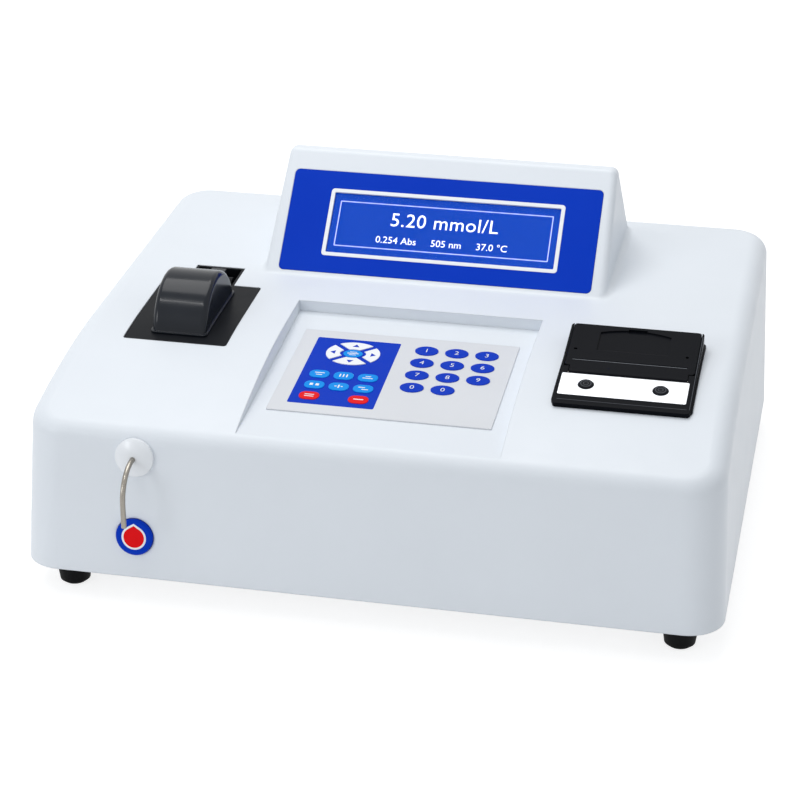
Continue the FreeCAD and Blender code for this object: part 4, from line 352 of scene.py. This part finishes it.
COVER = moulded("cover_plastic", (228, 233, 239), rough=0.42, grain=0.0007, relief=0.000012,
                edge=0.0012, wander=2)
TRAY = moulded("tray_plastic", (206, 211, 217), rough=0.5)
BOSS = moulded("boss_plastic", (238, 241, 245), rough=0.32, edge=0.0008, coat=0.2)
BLUE = moulded("print_blue", (6, 58, 190), gloss=0.05, **INK)
SKY = moulded("print_sky", (4, 146, 236), gloss=0.08, **INK)
RED = moulded("print_red", (234, 14, 22), gloss=0.08, **INK)
WHITE = moulded("print_white", (244, 246, 249), rough=0.36, grain=0.0005, relief=0.000006,
                edge=0.0003)
FILM = moulded("film_grey", (218, 220, 224), rough=0.38, grain=0.0006, relief=0.00001, edge=0.0004,
               wander=4)
BLACK = moulded("black_plastic", (13, 15, 20), rough=0.34, gloss=0.04, **DARK)
PLATE = moulded("plate_plastic", (23, 25, 29), rough=0.36, gloss=0.06, **DARK)
GLOSS = moulded("lid_plastic", (24, 29, 37), rough=0.17, grain=0.002, relief=0.000006, edge=0.0008,
                gloss=0.22, coat=0.06)
MATT = moulded("matt_black", (20, 21, 23), rough=0.5, grain=0.0006, relief=0.00002, edge=0.0003,
               gloss=0.3)
RUBBER = moulded("rubber_black", (14, 14, 16), rough=0.62, grain=0.0008, relief=0.00005,
                 edge=0.0007, gloss=0.1)
PRESS = moulded("button_plastic", (24, 26, 31), rough=0.3, grain=0.0008, relief=0.00001,
                edge=0.0005, gloss=0.06)
STEEL = brushed("steel", (158, 153, 145), rough=0.24, along="Z")
STRIP = brushed("strip_metal", (240, 243, 247), rough=0.34, along="X", grain=0.0006)
ALLOY = brushed("milled_alloy", (196, 199, 204), rough=0.34, along="Y")
WHITE_PART = moulded("white_nylon", (226, 225, 220), rough=0.45)
SILICONE = moulded("silicone", (222, 218, 208), rough=0.4, edge=0, sheen=0.2)
BOARD = circuit("board_green")
CLEAR = clear("clear_glass", (240, 246, 250))
PANE = clear("window_pane", (250, 252, 255), rough=0.03, mix=1.0, ior=1.1)
SCREEN = lit("screen_blue", (3, 56, 156), 0.5)
FIGURE = lit("screen_white", (238, 242, 250), 0.7)
LINE = lit("screen_line", (160, 172, 236), 0.7)
# A grey painted as highlights along the printer frame's rims, and also used for the rings on the
# two buttons.
RING_AND_RIM_HIGHLIGHT = moulded("button_ring_and_rim_highlight", (84, 87, 93), gloss=0.1, **TRIM)
# A light grey painted as a highlight along the edge of the printer's paper slit.
SLIT_HIGHLIGHT = moulded("slit_highlight", (128, 132, 138), gloss=0.2, **TRIM)

CAD_MATERIALS = {
    COVER: ["top_cover"],
    TRAY: ["base_tray"],
    BOSS: ["sipper_boss"],
    BLUE: ["display_panel", "aspirate_key"],
    WHITE: ["display_bezel"],
    FILM: ["keypad_film"],
    MATT: ["lcd_module", "key_switch", "fan_frame", "fan_rotor", "mains_inlet", "switch_frame",
           "power_rocker"],
    PLATE: ["well_plate"],
    GLOSS: ["flow_cell_lid"],
    BLACK: ["printer_frame", "printer_lid"],
    PRESS: ["feed_button", "select_button"],
    RUBBER: ["foot_front_left", "foot_front_right", "foot_back_left", "foot_back_right",
             "platen_roller"],
    STEEL: ["sipper_tube", "case_screws", "lid_pin", "printer_lid_pin", "platen_shaft",
            "printer_motor", "filter_motor", "pump_motor", "power_supply", "serial_port"],
    STRIP: ["printer_strip"],
    ALLOY: ["cuvette_holder", "key_bracket", "print_head", "optics_bench", "lamp_housing",
            "filter_wheel", "pump_rotor"],
    WHITE_PART: ["pump_head", "pump_roller_1", "pump_roller_2", "pump_roller_3", "platen_gear",
                 "drive_pinion", "waste_port"],
    SILICONE: ["sample_hose", "pump_hose"],
    BOARD: ["printer_key_board", "sensor_board", "main_board"],
    CLEAR: ["flow_cell", "lamp", "condenser_lens", "filter_set"],
    PANE: ["lcd_glass"],
}
# Degrees beyond which an edge stays sharp.
CAD_SHARP = 28
PIECE_SHARP = 35


def smoothed(mesh, degrees):
    """Smooth shading that breaks at edges sharper than some degrees."""
    for polygon in mesh.polygons:
        polygon.use_smooth = True
    mesh.set_sharp_from_angle(angle=math.radians(degrees))


def dress_nodes():
    """Gives every CAD node its material."""
    for material, names in CAD_MATERIALS.items():
        for name in names:
            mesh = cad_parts[name].data
            mesh.materials.clear()
            mesh.materials.append(material)
            smoothed(mesh, CAD_SHARP)


# ---- outlines, as lists of points on a face

CORNER_STEPS = 7
EGG_STEPS = 48
DROP_STEPS = 44


def box_outline(left, right, low, high, radius):
    """A rectangle with round corners."""
    points = []
    for u, v, start in ((right, high, 0), (left, high, 90), (left, low, 180), (right, low, 270)):
        centre_u = u - radius if u == right else u + radius
        centre_v = v - radius if v == high else v + radius
        for step in range(CORNER_STEPS + 1):
            angle = math.radians(start + 90 * step / CORNER_STEPS)
            points.append((centre_u + radius * math.cos(angle),
                           centre_v + radius * math.sin(angle)))
    return points


def egg(u, v, wide, high):
    """An ellipse."""
    angles = [math.tau * step / EGG_STEPS for step in range(EGG_STEPS)]
    return [(u + wide / 2 * math.cos(angle), v + high / 2 * math.sin(angle)) for angle in angles]


def bar(u, v, wide, high):
    """A plain rectangle centred at u, v."""
    return [(u - wide / 2, v - high / 2), (u + wide / 2, v - high / 2),
            (u + wide / 2, v + high / 2), (u - wide / 2, v + high / 2)]


def drop(u, v, radius, tip):
    """A circle with a pointed top."""
    reach = radius + tip
    half = math.acos(radius / reach)
    points = [(u, v + reach)]
    for step in range(DROP_STEPS + 1):
        angle = half + (math.tau - 2 * half) * step / DROP_STEPS
        points.append((u - radius * math.sin(angle), v + radius * math.cos(angle)))
    return points


# ---- thin printed and raised pieces

# A cushioned key's rim, rising: the share of its outline, and its depth as a share of the cushion.
PILLOW = ((1.0, 0.35), (0.97, 0.1), (0.9, 0.0))
TEXT_HALF_THICK = 0.00003
TEXT_STEPS = 3


def loop(model, where, outline, level):
    """An outline's vertices at a level above a face."""
    return [model.verts.new(where @ Vector((u * MM, v * MM, level * MM))) for u, v in outline]


def joined(model, first, second):
    """The faces between two loops with the same number of points."""
    for index in range(len(first)):
        after = (index + 1) % len(first)
        model.faces.new((first[index], first[after], second[after], second[index]))


def riding(name, mesh, body):
    """Links a mesh as a piece that rides on a body."""
    item = bpy.data.objects.new(name, mesh)
    scene.collection.objects.link(item)
    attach(item, body)


def piece(name, model, material, body):
    """Turns a built model into a smooth piece of one material."""
    bmesh.ops.recalc_face_normals(model, faces=model.faces)
    mesh = bpy.data.meshes.new(name)
    model.to_mesh(mesh)
    model.free()
    mesh.materials.append(material)
    smoothed(mesh, PIECE_SHARP)
    riding(name, mesh, body)


def shapes(name, where, outlines, low, high, material, body="case", pillow=0.0):
    """Flat shapes between two levels above a face, as one piece. A pillow rounds their rims."""
    model = bmesh.new()
    rim = [(share, high - depth * pillow) for share, depth in PILLOW] if pillow else [(1.0, high)]
    for outline in outlines:
        centre = Vector((sum(point[0] for point in outline),
                         sum(point[1] for point in outline))) / len(outline)
        loops = []
        for share, level in [(1.0, low)] + rim:
            scaled = [(centre.x + share * (u - centre.x), centre.y + share * (v - centre.y))
                      for u, v in outline]
            loops.append(loop(model, where, scaled, level))
        model.faces.new(reversed(loops[0]))
        model.faces.new(loops[-1])
        for lower, upper in zip(loops, loops[1:]):
            joined(model, lower, upper)
    piece(name, model, material, body)


def rings(name, where, pairs, low, high, material, body="case"):
    """Flat frames between an outer and an inner outline with the same number of points."""
    model = bmesh.new()
    for outer, inner in pairs:
        corners = ((outer, low), (outer, high), (inner, high), (inner, low))
        loops = [loop(model, where, outline, level) for outline, level in corners]
        for first, second in zip(loops, loops[1:] + loops[:1]):
            joined(model, first, second)
    piece(name, model, material, body)


def label(name, text, where, u, v, level, size, material, spacing=1.0):
    """Printed text on the case, centred at u, v."""
    curve = bpy.data.curves.new(name + "_text", "FONT")
    curve.body = text
    curve.size = size * MM
    curve.extrude = TEXT_HALF_THICK
    curve.align_x = "CENTER"
    curve.align_y = "CENTER"
    curve.space_character = spacing
    curve.resolution_u = TEXT_STEPS
    typed = bpy.data.objects.new(name + "_text", curve)
    scene.collection.objects.link(typed)
    bpy.context.view_layer.update()
    depsgraph = bpy.context.evaluated_depsgraph_get()
    mesh = bpy.data.meshes.new_from_object(typed.evaluated_get(depsgraph))
    bpy.data.objects.remove(typed)
    mesh.name = name
    mesh.transform(where @ Matrix.Translation((u * MM, v * MM, level * MM)))
    mesh.materials.clear()
    mesh.materials.append(material)
    riding(name, mesh, "case")


# ---- the keypad's print

# Heights above the keypad's face, then how deep print is sunk, its thickness, a key's rounding.
FILM_TOP = 0.8
KEY_TOP = 1.2
KEY_SKIN = 0.14
PRINT_TOP = KEY_TOP + KEY_SKIN
SUNK = 0.1
THIN = 0.05
CUSHION = 0.3

FIELD = (-60.0, -5.1, -119.8, -34.8)
FIELD_RADIUS = 1.2

DIGITS = ("123", "456", "789", "00")
DIGIT_U, DIGIT_V = 13.0, -41.7
DIGIT_STEP_U, DIGIT_STEP_V = 19.6, 15.9
DIGIT_KEY = (15.2, 11.7)
DIGIT_HIGH = 6.2
DIGIT_RAISE = 0.02

COMMAND_U, COMMAND_V = -48.0, -82.5
COMMAND_STEP_U, COMMAND_STEP_V = 15.7, 13.8
COMMAND_HALF_U, COMMAND_HALF_V = 6.4, 4.7
COMMAND_RADIUS = 4.2
RED_ROW = 2
# The plain bars of each command key, by row and column: place from its centre, width, height.
KEY_MARKS = {
    (0, 0): ((0, 1.2, 6.4, 0.9), (0, -1.2, 4.0, 0.9)),
    (0, 1): ((-2.2, 0, 0.9, 3.6), (0, 0, 0.9, 3.6), (2.2, 0, 0.9, 3.6)),
    (0, 2): ((0, -0.8, 6.6, 0.9), (0, 1.4, 3.6, 0.8)),
    (1, 0): ((-1.9, 0, 2.2, 2.6), (1.9, 0, 2.2, 2.6)),
    (1, 1): ((0, 0, 1.0, 3.8), (-2.0, 0, 1.4, 1.0), (2.0, 0, 1.4, 1.0)),
    (1, 2): ((-1.2, 1.2, 4.2, 0.9), (1.2, -1.2, 4.2, 0.9)),
    (2, 0): ((0, 1.1, 6.0, 0.8), (0, -1.1, 6.0, 0.8)),
    (2, 2): ((0, 0, 6.4, 1.0),),
}
ENTER_MARK = ((0, 0, 7.4, 0.9), (0, 1.8, 4.6, 0.7), (0, -1.8, 4.6, 0.7))


def bars(u, v, marks):
    """The bars of a mark about u, v."""
    return [bar(u + right, v + up, wide, high) for right, up, wide, high in marks]


def key_tops(name, outlines, material):
    """Cushioned key tops that stand on the film."""
    shapes(name, KEYS, outlines, FILM_TOP - SUNK, PRINT_TOP, material, pillow=CUSHION)


def key_print(name, outlines, material):
    """Thin print on the key tops."""
    shapes(name, KEYS, outlines, PRINT_TOP - THIN, PRINT_TOP + THIN, material)


def make_keypad():
    """The blue field, the coloured keys and their figures."""
    shapes("keypad_field", KEYS, [box_outline(*FIELD, FIELD_RADIUS)], FILM_TOP - SUNK,
           FILM_TOP + THIN, BLUE)
    digits = []
    for row, figures in enumerate(DIGITS):
        for column, figure in enumerate(figures):
            u, v = DIGIT_U + DIGIT_STEP_U * column, DIGIT_V - DIGIT_STEP_V * row
            digits.append(egg(u, v, *DIGIT_KEY))
            label(f"digit_{row}_{column}", figure, KEYS, u, v, PRINT_TOP + DIGIT_RAISE, DIGIT_HIGH,
                  WHITE)
    key_tops("digit_keys", digits, BLUE)
    blues, reds, marks = [], [], []
    for (row, column), mark in KEY_MARKS.items():
        u, v = COMMAND_U + COMMAND_STEP_U * column, COMMAND_V - COMMAND_STEP_V * row
        top = box_outline(u - COMMAND_HALF_U, u + COMMAND_HALF_U, v - COMMAND_HALF_V,
                          v + COMMAND_HALF_V, COMMAND_RADIUS)
        (reds if row == RED_ROW else blues).append(top)
        marks += bars(u, v, mark)
    key_tops("command_keys", blues, SKY)
    key_tops("red_keys", reds, RED)
    key_print("command_marks", marks, WHITE)


RING_U, RING_V = -32.9, -53.5
RING_TURN = 40
RING_GAP = 3.4
RING_OUTER = (35.1, 29.0)
RING_INNER = (17.1, 11.0)
RING_STEPS = 14
HALVINGS = 40
ARROW_REACHES = (13.0, 10.0, 13.0, 10.0)
ARROW_TIP, ARROW_FOOT, ARROW_HALF = 1.9, 1.3, 2.3
ENTER_KEY = (12.6, 9.4)


def crossing(wide, high, turn, side):
    """Where the edge of a gap at turn degrees meets an oval: the angle on that oval."""
    along = (math.cos(math.radians(turn)), math.sin(math.radians(turn)))
    off = (-along[1] * side * RING_GAP / 2, along[0] * side * RING_GAP / 2)
    near, far = 0.0, wide
    for _ in range(HALVINGS):
        middle = (near + far) / 2
        u, v = off[0] + along[0] * middle, off[1] + along[1] * middle
        if (2 * u / wide) ** 2 + (2 * v / high) ** 2 < 1:
            near = middle
        else:
            far = middle
    return math.atan2(2 * v / high, 2 * u / wide)


def ring_segment(start, end):
    """One key of the ring between the gaps at start and end degrees."""
    points = []
    for (wide, high), turned in ((RING_OUTER, False), (RING_INNER, True)):
        first = crossing(wide, high, start, 1)
        last = crossing(wide, high, end, -1)
        if last < first:
            last += math.tau
        steps = range(RING_STEPS + 1)
        for step in reversed(steps) if turned else steps:
            angle = first + (last - first) * step / RING_STEPS
            points.append((RING_U + wide / 2 * math.cos(angle),
                           RING_V + high / 2 * math.sin(angle)))
    return points


def make_arrows():
    """The direction ring of four keys with its centre key."""
    turns = (-RING_TURN, RING_TURN, 180 - RING_TURN, 180 + RING_TURN, 360 - RING_TURN)
    segments = [ring_segment(start, end) for start, end in zip(turns, turns[1:])]
    shapes("arrow_ring", KEYS, segments, FILM_TOP - SUNK, PRINT_TOP, WHITE)
    centre = Vector((RING_U, RING_V))
    arrows = []
    for quarter, reach in enumerate(ARROW_REACHES):
        turn = math.radians(90 * quarter)
        direction = Vector((math.cos(turn), math.sin(turn)))
        tip = centre + direction * (reach + ARROW_TIP)
        foot = centre + direction * (reach - ARROW_FOOT)
        side = Vector((-direction.y, direction.x)) * ARROW_HALF
        arrows.append([tuple(tip), tuple(foot + side), tuple(foot - side)])
    key_print("arrow_marks", arrows, BLUE)
    key_tops("enter_key", [egg(RING_U, RING_V, *ENTER_KEY)], SKY)
    key_print("enter_mark", bars(RING_U, RING_V, ENTER_MARK), WHITE)


# ---- the display

SCREEN_BOX = (-76.3, 79.7, 18.8, 63.4)
SCREEN_RADIUS = 0.6
SCREEN_TOP = -1.1
SCREEN_THICK = 0.4
# The thin frame's two outlines: how far each is drawn in, and its corners.
FRAME_OUTER = (4.4, 5.4, 0.6)
FRAME_INNER = (5.1, 6.1, 0.3)
READING_U = 1.7
READING_V, READING_HIGH = 46.0, 14.0
READING_SPACING = 1.05
DETAIL_V, DETAIL_HIGH = 31.0, 7.0


def screen_outline(inset_u, inset_v, radius):
    """The screen's rectangle, drawn in by some millimetres."""
    left, right, low, high = SCREEN_BOX
    return box_outline(left + inset_u, right - inset_u, low + inset_v, high - inset_v, radius)


def make_display():
    """The lit screen behind the window, with a thin frame and generic readings."""
    shapes("screen", FACE, [screen_outline(0, 0, SCREEN_RADIUS)], SCREEN_TOP - SCREEN_THICK,
           SCREEN_TOP, SCREEN)
    thin_frame = (screen_outline(*FRAME_OUTER), screen_outline(*FRAME_INNER))
    rings("screen_line", FACE, [thin_frame], SCREEN_TOP - SUNK, SCREEN_TOP + THIN, LINE)
    label("reading", "5.20 mmol/L", FACE, READING_U, READING_V, SCREEN_TOP + THIN, READING_HIGH,
          FIGURE, spacing=READING_SPACING)
    label("reading_line", "0.254 Abs     505 nm     37.0 \u00b0C", FACE, READING_U, DETAIL_V,
          SCREEN_TOP + THIN, DETAIL_HIGH, FIGURE)


# ---- the aspirate key's drops

SAMPLE_U, SAMPLE_V = -143.9, 27.4
SAMPLE_TOP = 2.4
# Each drop: its piece, the radius, how far its tip stands past the circle, thickness, ink.
DROPS = (("key_white_drop", 7.9, 1.4, 0.08, WHITE), ("key_red_drop", 6.6, 1.2, 0.16, RED))


def make_sample_key():
    """The white and red drops on the blue round key."""
    front = WALL @ Matrix.Rotation(math.radians(90), 4, "X")
    for name, radius, tip, thick, material in DROPS:
        shapes(name, front, [drop(SAMPLE_U, SAMPLE_V, radius, tip)], SAMPLE_TOP - THIN,
               SAMPLE_TOP + thick, material, "sample_key")


# ---- the printer's painted edge highlights and button rings

LINE_LOW, LINE_HIGH = -0.02, 0.06
RIM_HIGH = 0.05
# Where the painted highlight along the paper slit's edge lies.
SLIT_EDGE = (145.6, 47.7, 71.4, 0.32)
# The frame's front and right rims, where highlights are painted as grey lines.
RIM_FRONT = (146.1, 4.6, 79.4, 0.3)
RIM_RIGHT = (187.5, 44.0, 0.3, 78.8)
BUTTONS = {"feed": 122.1, "select": 168.1}
BUTTON_V = 21.5
BUTTON_RINGS = ((6.8, 6.0), (3.4, 2.8))
BUTTON_LOW, BUTTON_HIGH = 1.05, 1.12


def make_printer_lines():
    """Painted highlights along the paper slit's edge and the frame's front and right rims, and the
    rings on the two buttons.
    """
    shapes("slit_highlight", DECK, [bar(*SLIT_EDGE)], LINE_LOW, LINE_HIGH, SLIT_HIGHLIGHT, "printer_door")
    shapes("rim_highlight", DECK, [bar(*RIM_FRONT), bar(*RIM_RIGHT)], LINE_LOW, RIM_HIGH, RING_AND_RIM_HIGHLIGHT)
    for name, u in BUTTONS.items():
        pairs = [(egg(u, BUTTON_V, outer, outer), egg(u, BUTTON_V, inner, inner))
                 for outer, inner in BUTTON_RINGS]
        rings(name + "_ring", DECK, pairs, BUTTON_LOW, BUTTON_HIGH, RING_AND_RIM_HIGHLIGHT, name + "_key")


make_camera()
make_stage()
dress_nodes()
make_keypad()
make_arrows()
make_display()
make_sample_key()
make_printer_lines()
